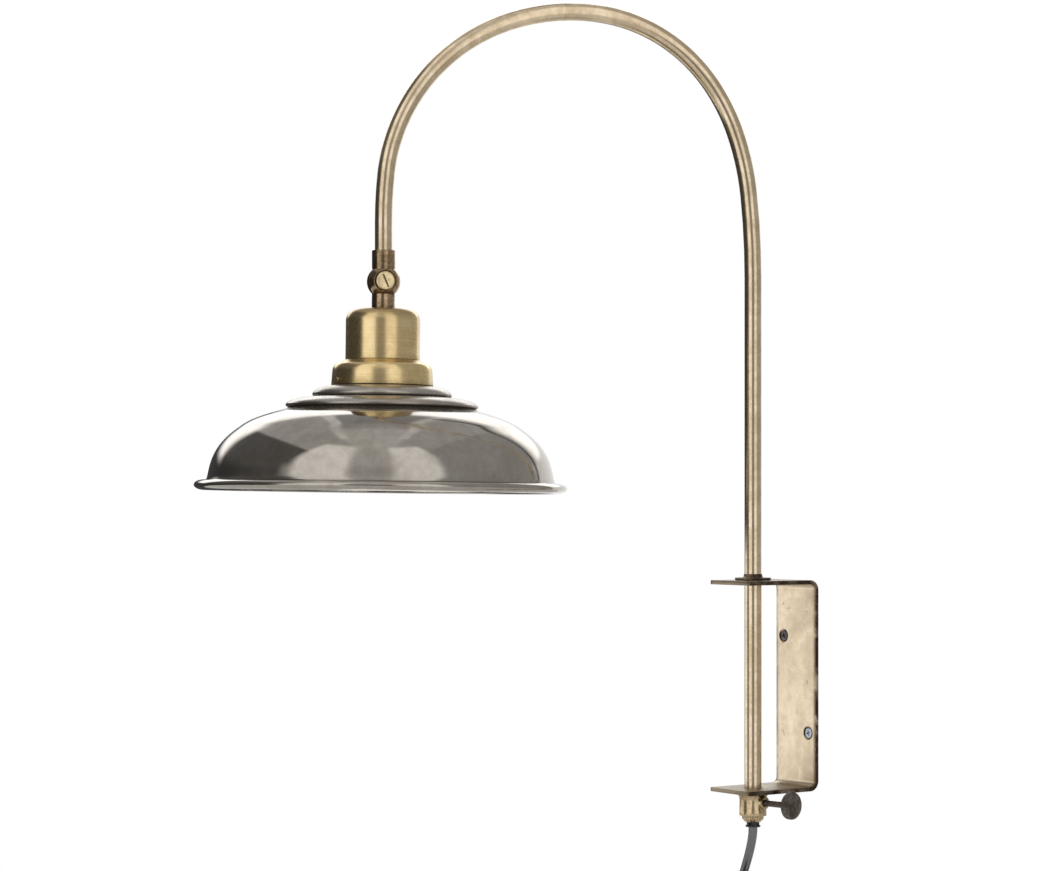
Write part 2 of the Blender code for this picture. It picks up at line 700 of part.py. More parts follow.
def build_lower_knuckle(head):
    """A neck whose top is hollowed to follow the ball, and a tongue that goes up into its slot."""
    seat = BALL_RADIUS + NECK_SEAT_GAP
    edge = math.degrees(math.asin(NECK_RADIUS / seat))
    outline = arc((0, 0), seat, -90, -90 + edge, 8)
    outline[0] = (0, -seat)
    outline += [
        (NECK_RADIUS, NECK_BOTTOM),
        (NIPPLE_RADIUS, NECK_BOTTOM),
        (NIPPLE_RADIUS, NIPPLE_END),
        (NIPPLE_BORE, NIPPLE_END),
        (NIPPLE_BORE, LEADS_TOP),
        (0, LEADS_TOP),
    ]
    neck = turned("knuckle_lower", outline, "dark_brass", 32, parent=head)
    half = NECK_RADIUS - 2 * JOINT_GAP
    meet = math.degrees(math.acos(half / TONGUE_RADIUS))
    root = -seat - 2 * JOINT_GAP
    outline = [(half, root)] + arc((0, 0), TONGUE_RADIUS, -meet, 180 + meet, 20) + [(-half, root)]
    join(neck, extruded("tongue", outline, TONGUE_THICKNESS, parent=head))
    bore = PIVOT_RADIUS + JOINT_GAP
    sideways = {"parent": head, "rotation": (0, 90, 0)}
    cut(neck, cylinder("tongue_hole", bore, -BALL_RADIUS, BALL_RADIUS, sections=20, **sideways))


def build_cup(head):
    bore = NIPPLE_RADIUS + JOINT_GAP
    centre = (CUP_RADIUS - CUP_SHOULDER, CUP_TOP - CUP_SHOULDER)
    outer = [(bore, CUP_TOP)] + arc(centre, CUP_SHOULDER, 90, 0, 6) + [(CUP_RADIUS, CUP_BOTTOM)]
    turned("holder_cup", shell(outer, SPUN_WALL), "satin_brass", 32, parent=head)
    top = CUP_TOP - SPUN_WALL - JOINT_GAP
    hex_nut("lock_nut", LOCK_NUT_RADIUS, bore, top - LOCK_NUT_HEIGHT, top, "zinc_steel", head)


def build_gallery(head):
    inner = HOLDER_SKIRT_RADIUS + JOINT_GAP
    top = CUP_BOTTOM - JOINT_GAP
    slope_end = (CUP_RADIUS + GALLERY_RADIUS) / 2
    round_off = GALLERY_RADIUS - slope_end
    shoulder = (slope_end, top - GALLERY_SHOULDER_DROP)
    outer = [(inner, top), (CUP_RADIUS, top)]
    outer += [
        (shoulder[0] + round_off * math.cos(angle), shoulder[1] + GALLERY_ROUND_HEIGHT * math.sin(angle))
        for angle in (math.radians(90 - 90 * index / 5) for index in range(6))
    ]
    outer += [(GALLERY_RADIUS + GALLERY_FLARE, GALLERY_BOTTOM)]
    gallery = turned("gallery_ring", shell(outer, GALLERY_WALL), "satin_brass", 32, parent=head)
    for number, angle in enumerate(GALLERY_SCREW_ANGLES, 1):
        build_gallery_screw(head, gallery, number, angle)


def build_gallery_screw(head, gallery, number, angle):
    """A set screw whose tip stops just short of the shade's neck; its own Z axis points outwards."""
    place = {"parent": head, "location": (0, 0, GALLERY_SCREW_HEIGHT), "rotation": (0, 90, angle)}
    wall = GALLERY_RADIUS + GALLERY_FLARE
    hole = GALLERY_SCREW_SHANK + JOINT_GAP
    start = SHADE_NECK_RADIUS + JOINT_GAP
    cut(gallery, cylinder(f"gallery_hole_{number}", hole, start, wall + 0.002, sections=12, **place))
    under = wall + JOINT_GAP
    outline = [
        (0, start),
        (GALLERY_SCREW_SHANK, start),
        (GALLERY_SCREW_SHANK, under),
        (GALLERY_SCREW_HEAD_RADIUS, under),
        (GALLERY_SCREW_HEAD_RADIUS, under + GALLERY_SCREW_HEAD_LENGTH - JOINT_GAP),
        (GALLERY_SCREW_HEAD_RADIUS - JOINT_GAP, under + GALLERY_SCREW_HEAD_LENGTH),
        (0, under + GALLERY_SCREW_HEAD_LENGTH),
    ]
    turned(f"gallery_screw_{number}", outline, "dark_steel", 12, **place)


def build_shade(head):
    outer = [(SHADE_NECK_RADIUS, SHADE_NECK_TOP)] + list(SHADE_TIERS) + list(SHADE_DOME)
    under = [
        point
        for index, point in enumerate(outer)
        if all(point[0] <= later[0] for later in outer[index + 1:])
    ]
    middle = SHADE_LIP_RADIUS - RIM_ROLL_WIDTH
    rim = [
        (middle + RIM_ROLL_WIDTH * across, RIM_ROLL_CENTRE + RIM_ROLL_HEIGHT * up)
        for across, up in arc((0, 0), 1, 105, -120, 9)
    ]
    outline = outer + rim + offset_line(under, SHADE_WALL)[::-1]
    turned("shade", outline, "polished_pewter", SHADE_SECTIONS, parent=head)


def build_bulb_holder(head):
    bore = NIPPLE_RADIUS + JOINT_GAP
    shoulder = CUP_BOTTOM
    outline = [
        (0, HOLDER_TOP - HOLDER_SOCKET_DEPTH),
        (bore, HOLDER_TOP - HOLDER_SOCKET_DEPTH),
        (bore, HOLDER_TOP),
        (HOLDER_CAP_RADIUS, HOLDER_TOP - HOLDER_CAP_DROP),
        (HOLDER_BODY_RADIUS, HOLDER_BODY_TOP),
        (HOLDER_BODY_RADIUS, shoulder),
        (HOLDER_SKIRT_RADIUS, shoulder),
        (HOLDER_SKIRT_RADIUS, HOLDER_BOTTOM),
        (HOLDER_CAVITY_RADIUS, HOLDER_BOTTOM),
        (HOLDER_CAVITY_RADIUS, HOLDER_CAVITY_TOP),
        (0, HOLDER_CAVITY_TOP),
    ]
    turned("lampholder_body", outline, "black_phenolic", 24, parent=head)
    outer = HOLDER_CAVITY_RADIUS - JOINT_GAP
    inner = outer - SCREW_SHELL_WALL
    top = HOLDER_CAVITY_TOP - JOINT_GAP
    bottom = HOLDER_BOTTOM + SCREW_SHELL_SHORT
    outline = [(inner, bottom), (outer, bottom), (outer, top), (inner, top)]
    turned("lampholder_shell", outline, "bare_brass", 24, parent=head)
    low = top - CONTACT_HEIGHT
    outline = [(0, low), (CONTACT_RADIUS, low), (CONTACT_RADIUS, top), (0, top)]
    turned("lampholder_contact", outline, "bare_brass", 12, parent=head)
    skirt = HOLDER_SKIRT_RADIUS + JOINT_GAP
    ring_top = CUP_BOTTOM - 2 * JOINT_GAP - GALLERY_WALL
    outline = [
        (skirt, ring_top),
        (CLAMP_RING_RADIUS, ring_top),
        (CLAMP_RING_RADIUS, ring_top - CLAMP_RING_HEIGHT / 3),
        (HOLDER_BODY_RADIUS, ring_top - CLAMP_RING_HEIGHT),
        (skirt, ring_top - CLAMP_RING_HEIGHT),
    ]
    turned("shade_clamp_ring", outline, "black_phenolic", 24, parent=head)
    leads_top = LEADS_TOP - 2 * JOINT_GAP
    leads_end = HOLDER_TOP - HOLDER_SOCKET_DEPTH + JOINT_GAP
    cable("holder_leads", [(0, 0, leads_top), (0, 0, leads_end)], LEADS_RADIUS, "black_flex", parent=head)


def build_cord():
    radius = CORD_WIDTH / 2
    cable("cord_drop", smooth_route(CORD_DROP, 2), radius, "black_flex")
    cable("cord_tail", smooth_route(CORD_TAIL, 2), radius, "black_flex")
    half = COIL_BUNDLE / 2
    side = COIL_BREADTH / 2
    corner = COIL_BUNDLE / 4
    outline = []
    for centre, start in (((half - corner, side - corner), 90), ((half - corner, corner - side), 0),
                          ((corner - half, corner - side), -90), ((corner - half, side - corner), -180)):
        middle = (COIL_MIDDLE_RADIUS + centre[0], centre[1])
        outline += arc(middle, corner, start, start - 90, 2)
    place = {"location": COIL_CENTRE, "rotation": (90, 0, 0)}
    turned("cord_coil", outline, "black_flex", COIL_SECTIONS, **place)
    build_tie(half, side)


def build_tie(half, side):
    """A strap round the bundle of turns, where the drop joins it."""
    slack = 3 * JOINT_GAP
    angle = math.radians(TIE_ANGLE)
    middle = COIL_CENTRE + COIL_MIDDLE_RADIUS * Vector((math.cos(angle), 0, math.sin(angle)))
    place = {"location": middle, "rotation": (0, -TIE_ANGLE, 0)}
    inside = (2 * (half + slack), 2 * (side + slack), 2 * TIE_WIDTH)
    outside = (inside[0] + 2 * TIE_THICKNESS, inside[1] + 2 * TIE_THICKNESS, TIE_WIDTH)
    tie = block("cord_tie", outside, (0, 0, 0), "black_rubber", **place)
    cut(tie, block("tie_inside", inside, (0, 0, 0), **place))


def build_plug():
    """A two-blade plug that hangs from the cord's tail, with its own Z axis up."""
    x, y, z = CORD_TAIL[-1]
    relief_top = -JOINT_GAP
    body_top = relief_top - PLUG_RELIEF_LENGTH
    body_bottom = body_top - PLUG_BODY_LENGTH
    place = {"location": (x, y, z)}
    outline = [
        (0, body_top - PLUG_CORNER),
        (PLUG_SHOULDER_RADIUS, body_top - PLUG_CORNER),
        (PLUG_SHOULDER_RADIUS, body_top),
        (PLUG_RELIEF_RADIUS, relief_top),
        (0, relief_top),
    ]
    body = block(
        "plug_body",
        (PLUG_BODY_WIDTH, PLUG_BODY_DEPTH, PLUG_BODY_LENGTH),
        (0, 0, (body_top + body_bottom) / 2),
        "black_rubber",
        **place,
    )
    corners = body.modifiers.new("corners", "BEVEL")
    corners.width = PLUG_CORNER
    corners.segments = 2
    join(body, turned("plug_relief", outline, None, 16, **place))
    for number, side in enumerate((-1, 1), 1):
        centre = (side * BLADE_SPACING / 2, 0, body_bottom - JOINT_GAP - BLADE_LENGTH / 2)
        size = (BLADE_THICKNESS, BLADE_WIDTH, BLADE_LENGTH)
        block(f"plug_blade_{number}", size, centre, "bare_brass", **place)


clear_scene()
MATERIALS = make_materials()
THUMB_SCREW_PLACE = (0, -TUBE_FROM_WALL, FLANGE_BOTTOM - THUMB_SCREW_DROP)
arm_axis = add_empty("arm_axis", (0, -TUBE_FROM_WALL, 0), (0, 0, REST_SWING))
pivot_axis = add_empty("pivot_axis", (0, -REACH, PIVOT_HEIGHT), (0, 0, 0), arm_axis)
tilt_axis = add_empty("tilt_axis", (0, 0, 0), (REST_TILT, 0, 0), pivot_axis)
build_bracket()
build_lock_collar()
build_thumb_screw()
build_cord_bush()
build_arm(arm_axis)
build_upper_knuckle(pivot_axis)
build_lower_knuckle(tilt_axis)
build_cup(tilt_axis)
build_gallery(tilt_axis)
build_shade(tilt_axis)
build_bulb_holder(tilt_axis)
build_cord()
build_plug()
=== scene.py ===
import json
import math

import bmesh
import bpy
from mathutils import Matrix, Vector, noise


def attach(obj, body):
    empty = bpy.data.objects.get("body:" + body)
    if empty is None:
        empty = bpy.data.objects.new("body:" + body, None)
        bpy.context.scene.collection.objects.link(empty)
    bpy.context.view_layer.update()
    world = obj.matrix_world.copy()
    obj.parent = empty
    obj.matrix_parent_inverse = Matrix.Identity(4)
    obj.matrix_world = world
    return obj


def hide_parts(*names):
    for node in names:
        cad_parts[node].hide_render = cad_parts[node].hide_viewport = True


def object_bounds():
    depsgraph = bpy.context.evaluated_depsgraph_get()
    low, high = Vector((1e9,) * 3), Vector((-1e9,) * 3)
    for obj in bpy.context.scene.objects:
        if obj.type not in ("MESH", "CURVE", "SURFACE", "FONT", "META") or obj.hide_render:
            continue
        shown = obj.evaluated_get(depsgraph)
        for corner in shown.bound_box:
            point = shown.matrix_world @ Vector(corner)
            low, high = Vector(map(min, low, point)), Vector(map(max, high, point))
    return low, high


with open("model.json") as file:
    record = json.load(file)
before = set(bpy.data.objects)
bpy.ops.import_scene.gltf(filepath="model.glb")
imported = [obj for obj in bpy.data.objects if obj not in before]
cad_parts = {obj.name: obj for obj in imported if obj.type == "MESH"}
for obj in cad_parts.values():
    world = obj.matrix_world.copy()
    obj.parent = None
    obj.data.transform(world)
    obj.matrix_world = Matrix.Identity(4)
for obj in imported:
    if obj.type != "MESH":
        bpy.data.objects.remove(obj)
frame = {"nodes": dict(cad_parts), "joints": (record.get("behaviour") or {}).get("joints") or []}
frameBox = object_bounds()
joints = {joint["name"]: joint for joint in frame["joints"]}
up = Vector((0, 0, 1))


# small helpers for shapes

def arcPoints(centre, radius, start, end, steps):
    turns = [math.radians(start + (end - start) * step / steps) for step in range(steps + 1)]
    return [(centre[0] + radius * math.cos(turn),
        centre[1] + radius * math.sin(turn)) for turn in turns]


def roundCorners(outline, radius, steps=3, openEnds=False):
    # every corner sharper than 25 degrees gets a small fillet
    made = []
    count = len(outline)
    for index, place in enumerate(outline):
        here = Vector(place)
        atEnd = index in (0, count - 1)
        if (openEnds and atEnd) or place[0] < 1e-6:
            made.append(place)
            continue
        before = Vector(outline[index - 1]) - here
        after = Vector(outline[(index + 1) % count]) - here
        if before.length < 1e-7 or after.length < 1e-7:
            continue
        turn = math.pi - before.angle(after)
        if turn < math.radians(25) or turn > math.radians(170):
            made.append(place)
            continue
        reach = min(radius * math.tan(turn / 2), 0.45 * before.length, 0.45 * after.length)
        first = here + before.normalized() * reach
        last = here + after.normalized() * reach
        for step in range(steps + 1):
            t = step / steps
            made.append(tuple(first * (1 - t) ** 2 + here * (2 * t * (1 - t)) + last * t ** 2))
    return made


def smoothLine(points, perSpan, cornerAngle=55):
    # a curve through the points that keeps the sharp corners
    def turnAt(index):
        before = Vector(points[index]) - Vector(points[index - 1])
        after = Vector(points[index + 1]) - Vector(points[index])
        return math.degrees(before.angle(after))
    corners = [i for i in range(1, len(points) - 1) if turnAt(i) > cornerAngle]
    cuts = [0] + corners + [len(points) - 1]
    made = []
    for start, end in zip(cuts, cuts[1:]):
        run = [Vector(point) for point in points[start:end + 1]]
        run = [run[0] * 2 - run[1]] + run + [run[-1] * 2 - run[-2]]
        for index in range(1, len(run) - 2):
            a, b, c, d = run[index - 1:index + 3]
            for step in range(perSpan):
                t = step / perSpan
                curve = (
                    (c - a) * t + (a * 2 - b * 5 + c * 4 - d) * t ** 2
                    + (b * 3 - a - c * 3 + d) * t ** 3
                )
                made.append(tuple(b + curve / 2))
    made.append(tuple(points[-1]))
    return made


def besideLine(points, distance):
    # a line at an even distance on the right-hand side
    made = []
    for index, point in enumerate(points):
        here = Vector(point)
        before = here - Vector(points[index - 1]) if index else None
        after = Vector(points[index + 1]) - here if index + 1 < len(points) else None
        first = (before or after).normalized()
        second = (after or before).normalized()
        side = (Vector((first.y, -first.x)) + Vector((second.y, -second.x))).normalized()
        reach = distance / max(0.5, side.dot(Vector((first.y, -first.x))))
        made.append(tuple(here + side * reach))
    return made


def sheetOutline(outer, wall):
    return outer + besideLine(outer, wall)[::-1]


def spinOutline(outline, segments=96):
    mesh = bmesh.new()
    turns = [math.tau * step / segments for step in range(segments)]
    rings = []
    for radius, height in outline:
        if radius < 1e-6:
            rings.append([mesh.verts.new((0, 0, height))])
        else:
            rings.append([mesh.verts.new((radius * math.cos(t), radius * math.sin(t),
                height)) for t in turns])
    pairs = list(zip(rings, rings[1:]))
    if outline[0][0] > 1e-6:
        pairs.append((rings[-1], rings[0]))
    for near, far in pairs:
        for step in range(segments):
            after = (step + 1) % segments
            picked = [near[step % len(near)], near[after % len(near)], far[after % len(far)],
                far[step % len(far)]]
            picked = list(dict.fromkeys(picked))
            if len(picked) > 2:
                mesh.faces.new(picked)
    return mesh


def extrudeOutline(outline, depth):
    # a flat outline in the YZ plane, given depth along X
    mesh = bmesh.new()
    face = mesh.faces.new([mesh.verts.new((-depth / 2, y, z)) for y, z in outline])
    grown = bmesh.ops.extrude_face_region(mesh, geom=[face])
    moved = [item for item in grown["geom"] if isinstance(item, bmesh.types.BMVert)]
    bmesh.ops.translate(mesh, verts=moved, vec=(depth, 0, 0))
    return mesh


def loftRings(rings, capEnds=True):
    # rings of equal count, in order, skinned together
    mesh = bmesh.new()
    made = [[mesh.verts.new(point) for point in ring] for ring in rings]
    for near, far in zip(made, made[1:]):
        for step in range(len(near)):
            after = (step + 1) % len(near)
            mesh.faces.new((near[step], near[after], far[after], far[step]))
    if capEnds:
        mesh.faces.new(made[0])
        mesh.faces.new(made[-1])
    return mesh


def boxMesh(size, centre=(0, 0, 0)):
    mesh = bmesh.new()
    bmesh.ops.create_cube(
        mesh, size=1, matrix=Matrix.Translation(centre) @ Matrix.Diagonal((*size, 1)))
    return mesh


def draft(name, mesh, place=None):
    bmesh.ops.remove_doubles(mesh, verts=mesh.verts, dist=1e-7)
    bmesh.ops.recalc_face_normals(mesh, faces=mesh.faces)
    data = bpy.data.meshes.new(name)
    mesh.to_mesh(data)
    mesh.free()
    piece = bpy.data.objects.new(name, data)
    bpy.context.collection.objects.link(piece)
    piece.matrix_world = place or Matrix.Identity(4)
    return piece


def bevelEdges(piece, width, segments=2, angle=40):
    edges = piece.modifiers.new("edges", "BEVEL")
    edges.width = width
    edges.segments = segments
    edges.limit_method = "ANGLE"
    edges.angle_limit = math.radians(angle)
    return piece


def carve(piece, *cutters, operation="DIFFERENCE"):
    # applies everything on the piece, then clears the cutters away
    for cutter in cutters:
        change = piece.modifiers.new("carve", "BOOLEAN")
        change.object = cutter
        change.operation = operation
        change.solver = "EXACT"
    bpy.context.view_layer.update()
    shaped = bpy.data.meshes.new_from_object(
        piece.evaluated_get(bpy.context.evaluated_depsgraph_get()))
    piece.modifiers.clear()
    piece.data = shaped
    for cutter in cutters:
        bpy.data.objects.remove(cutter, do_unlink=True)
    return piece


def roughen(piece, amount, size, seed):
    # pushes the surface in by a noise, never out
    for vertex in piece.data.vertices:
        depth = noise.noise(vertex.co / size + Vector((seed, seed, seed)))
        depth += 0.5 * noise.noise(vertex.co / (size * 0.37) + Vector((seed, 0, 0)))
        vertex.co -= vertex.normal * amount * max(0.0, 0.5 + depth)
    return piece


def settle(piece):
    # keeps a turned piece's own axis in an attribute and a UV map,
    # then puts the mesh where it belongs
    data = piece.data
    local = data.attributes.new("local", "FLOAT_VECTOR", "POINT")
    for index, vertex in enumerate(data.vertices):
        local.data[index].vector = vertex.co
    wrap = data.uv_layers.new(name="wrap")
    for face in data.polygons:
        middle = math.atan2(face.center.y, face.center.x)
        for loop in face.loop_indices:
            here = data.vertices[data.loops[loop].vertex_index].co
            turn = math.atan2(here.y, here.x)
            turn += math.tau * round((middle - turn) / math.tau)
            wrap.data[loop].uv = (turn, here.z * 20 - math.hypot(here.x, here.y) * 16)
    data.transform(piece.matrix_world)
    piece.matrix_world = Matrix.Identity(4)


def dress(piece, finish, body, replaced=(), sharp=35):
    settle(piece)
    piece.data.materials.clear()
    piece.data.materials.append(finish)
    piece.data.shade_smooth()
    piece.data.set_sharp_from_angle(angle=math.radians(sharp))
    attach(piece, body)
    if replaced:
        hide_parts(*replaced)
    return piece


def turned(name, outline, place, segments=96, fillet=0.0):
    if fillet:
        outline = roundCorners(outline, fillet)
    return draft(name, spinOutline(outline, segments), place)


# camera

cameraLook = {
    "place": (1.6904, -1.4698, 0.1497),
    "bearing": 55.0,          # degrees round from straight in front of the wall
    "lens": 92.25,
    "shiftUp": 0.067,
}
cameraData = bpy.data.cameras.new("camera")
cameraData.lens = cameraLook["lens"]
cameraData.sensor_width = 36
cameraData.shift_y = cameraLook["shiftUp"]
cameraData.clip_start = 0.01
camera = bpy.data.objects.new("camera", cameraData)
camera.location = cameraLook["place"]
camera.rotation_euler = (math.radians(90), 0, math.radians(cameraLook["bearing"]))
bpy.context.collection.objects.link(camera)
bpy.context.scene.camera = camera
bpy.context.scene.view_settings.view_transform = "Standard"
print("camera placed")


# node helpers

def addNode(tree, kind, options=None, inputs=None):
    made = tree.nodes.new("ShaderNode" + kind)
    for key, value in (options or {}).items():
        setattr(made, key, value)
    for key, value in (inputs or {}).items():
        feed(tree, made.inputs[key], value)
    return made


def feed(tree, socket, value):
    if isinstance(value, bpy.types.NodeSocket):
        tree.links.new(value, socket)
    elif socket.type == "RGBA":
        socket.default_value = (*value[:3], 1.0)
    else:
        socket.default_value = value


def sums(tree, operation, first, second=0.0, third=0.0):
    return addNode(tree, "Math", {"operation": operation},
        {0: first, 1: second, 2: third}).outputs[0]


def vectorSums(tree, operation, first, second=(0, 0, 0)):
    made = addNode(tree, "VectorMath", {"operation": operation}, {0: first, 1: second})
    return made.outputs["Value" if operation in ("LENGTH", "DOT_PRODUCT") else "Vector"]


def blendColours(tree, amount, first, second, blendType="MIX"):
    made = addNode(tree, "Mix", {"data_type": "RGBA", "blend_type": blendType})
    feed(tree, made.inputs[0], amount)
    feed(tree, made.inputs[6], first)
    feed(tree, made.inputs[7], second)
    return made.outputs[2]


def remap(tree, value, low, high, newLow=0.0, newHigh=1.0, smooth=True):
    kind = "SMOOTHSTEP" if smooth else "LINEAR"
    names = ("Value", "From Min", "From Max", "To Min", "To Max")
    return addNode(tree, "MapRange", {"interpolation_type": kind},
        dict(zip(names, (value, low, high, newLow, newHigh)))).outputs[0]


def noiseValue(tree, where, scale, detail=4.0, roughness=0.55, distortion=0.0):
    made = addNode(tree, "TexNoise", None, {
        "Vector": where, "Scale": scale, "Detail": detail, "Roughness": roughness,
        "Distortion": distortion,
    })
    return made.outputs[0]


def newGroup(name, inputs, outputs):
    # inputs: name -> (socket type, default); outputs: name -> socket type
    tree = bpy.data.node_groups.new(name, "ShaderNodeTree")
    for key, (kind, start) in inputs.items():
        socket = tree.interface.new_socket(name=key, in_out="INPUT",
            socket_type="NodeSocket" + kind)
        if start is not None:
            socket.default_value = start
    for key, kind in outputs.items():
        tree.interface.new_socket(name=key, in_out="OUTPUT", socket_type="NodeSocket" + kind)
    entry = tree.nodes.new("NodeGroupInput")
    leave = tree.nodes.new("NodeGroupOutput")
    return tree, entry.outputs, leave.inputs


def useGroup(tree, group, inputs):
    made = tree.nodes.new("ShaderNodeGroup")
    made.node_tree = group
    for key, value in inputs.items():
        feed(tree, made.inputs[key], value)
    return made.outputs


# shared effects

def buildTurnedSpace():
    # coordinates that follow a turned piece: round it, and along its profile
    tree, ins, outs = newGroup("turnedSpace", {"Object": ("Vector", None)}, {"Vector": "Vector"})
    parts = addNode(tree, "SeparateXYZ", None, {0: ins["Object"]}).outputs
    flat = addNode(tree, "CombineXYZ", None, {0: parts[0], 1: parts[1]}).outputs[0]
    radius = vectorSums(tree, "LENGTH", flat)
    around = vectorSums(tree, "NORMALIZE", flat)
    profile = sums(tree, "ADD", parts[2], sums(tree, "MULTIPLY", radius, -0.8))
    aroundParts = addNode(tree, "SeparateXYZ", None, {0: around}).outputs
    joined = addNode(tree, "CombineXYZ", None,
        {0: aroundParts[0], 1: aroundParts[1], 2: profile}).outputs[0]
    feed(tree, outs["Vector"], joined)
    return tree


def buildPatina():
    # cloudy tarnish: broad clouds, finer mottle, and small dark spots
    tree, ins, outs = newGroup(
        "patina",
        {
            "Vector": ("Vector", None), "Scale": ("Float", 60.0), "Contrast": ("Float", 0.5),
            "Spots": ("Float", 0.3), "Light": ("Color", (1, 1, 1, 1)),
            "Dark": ("Color", (0, 0, 0, 1)),
            "Spot Color": ("Color", (0, 0, 0, 1)),
        },
        {"Color": "Color", "Clouds": "Float", "Spots": "Float"},
    )
    broad = noiseValue(tree, ins["Vector"], ins["Scale"], 5.0, 0.62, 0.6)
    fineScale = sums(tree, "MULTIPLY", ins["Scale"], 5.3)
    fine = noiseValue(tree, ins["Vector"], fineScale, 4.0, 0.6)
    mixed = sums(tree, "MULTIPLY_ADD", fine, 0.35, sums(tree, "MULTIPLY", broad, 0.65))
    low = sums(tree, "MULTIPLY_ADD", ins["Contrast"], 0.2, 0.28)
    high = sums(tree, "MULTIPLY_ADD", ins["Contrast"], -0.2, 0.74)
    clouds = remap(tree, mixed, low, high)
    spotNoise = noiseValue(tree, ins["Vector"], sums(tree, "MULTIPLY", ins["Scale"], 3.1), 6.0, 0.7,
        0.3)
    spots = sums(tree, "MULTIPLY", remap(tree, spotNoise, 0.62, 0.72), ins["Spots"])
    colour = blendColours(tree, clouds, ins["Dark"], ins["Light"])
    feed(tree, outs["Color"], blendColours(tree, spots, colour, ins["Spot Color"]))
    feed(tree, outs["Clouds"], clouds)
    feed(tree, outs["Spots"], spots)
    return tree


def buildBrushLines():
    # fine parallel lines from polishing; Stretch sets how they run
    tree, ins, outs = newGroup(
        "brushLines",
        {"Vector": ("Vector", None), "Stretch": ("Vector", (1, 1, 1)), "Amount": ("Float", 0.5)},
        {"Height": "Float", "Mask": "Float"},
    )
    drawn = vectorSums(tree, "MULTIPLY", ins["Vector"], ins["Stretch"])
    fine = noiseValue(tree, drawn, 1.0, 3.0, 0.7)
    coarse = noiseValue(tree, drawn, 0.23, 2.0, 0.5)
    lines = sums(tree, "MULTIPLY_ADD", coarse, 0.45, sums(tree, "MULTIPLY", fine, 0.55))
    centred = sums(tree, "SUBTRACT", lines, 0.5)
    feed(tree, outs["Height"], sums(tree, "MULTIPLY_ADD", centred, ins["Amount"], 0.5))
    feed(tree, outs["Mask"], remap(tree, lines, 0.36, 0.64))
    return tree


def buildScratches():
    # sparse thin scratches in several directions
    tree, ins, outs = newGroup(
        "scratches", {"Vector": ("Vector", None), "Scale": ("Float", 30.0),
            "Amount": ("Float", 0.3)}, {"Mask": "Float"})
    total = None
    for angle, stretch in ((0.4, 26.0), (1.9, 30.0), (2.7, 22.0)):
        turned = addNode(tree, "VectorRotate", {"rotation_type": "EULER_XYZ"}, {
            "Vector": ins["Vector"], "Rotation": (angle, angle * 0.7, angle * 1.3)}).outputs[0]
        pulled = vectorSums(tree, "MULTIPLY", turned, (stretch, 1.0, stretch * 0.6))
        lines = noiseValue(tree, pulled, ins["Scale"], 2.0, 0.5)
        mask = remap(tree, lines, 0.685, 0.70)
        total = mask if total is None else sums(tree, "MAXIMUM", total, mask)
    feed(tree, outs["Mask"], sums(tree, "MULTIPLY", total, ins["Amount"]))
    return tree


def buildCornerShade():
    # painted shade in corners and recesses, from ambient occlusion broken up by a noise
    tree, ins, outs = newGroup(
        "cornerShade",
        {"Vector": ("Vector", None), "Reach": ("Float", 0.003), "Amount": ("Float", 0.7),
            "Grain": ("Float", 500.0)},
        {"Mask": "Float"},
    )
    shut = addNode(tree, "AmbientOcclusion", {"samples": 4},
        {"Distance": ins["Reach"]}).outputs["AO"]
    inside = remap(tree, shut, 0.35, 0.95, 1.0, 0.0)
    broken = remap(tree, noiseValue(tree, ins["Vector"], ins["Grain"], 3.0, 0.6), 0.3, 0.7, 0.55,
        1.0)
    feed(tree, outs["Mask"], sums(tree, "MULTIPLY", sums(tree, "MULTIPLY", inside, broken),
        ins["Amount"]))
    return tree


turnedSpace = buildTurnedSpace()
patina = buildPatina()
brushLines = buildBrushLines()
scratches = buildScratches()
cornerShade = buildCornerShade()


def wherePoint(tree, mapping):
    # "object", "turned", or the name of a mesh attribute
    if mapping in ("object", "turned"):
        local = addNode(tree, "TexCoord").outputs["Object"]
        if mapping == "turned":
            own = addNode(tree, "Attribute", {"attribute_name": "local"}).outputs["Vector"]
            return useGroup(tree, turnedSpace, {"Object": own})["Vector"], local
        return local, local
    run = addNode(tree, "Attribute", {"attribute_name": mapping}).outputs["Vector"]
    return run, run


def ownPlace(tree):
    # where a point lies in its piece's own frame
    return addNode(tree, "Attribute", {"attribute_name": "local"}).outputs["Vector"]


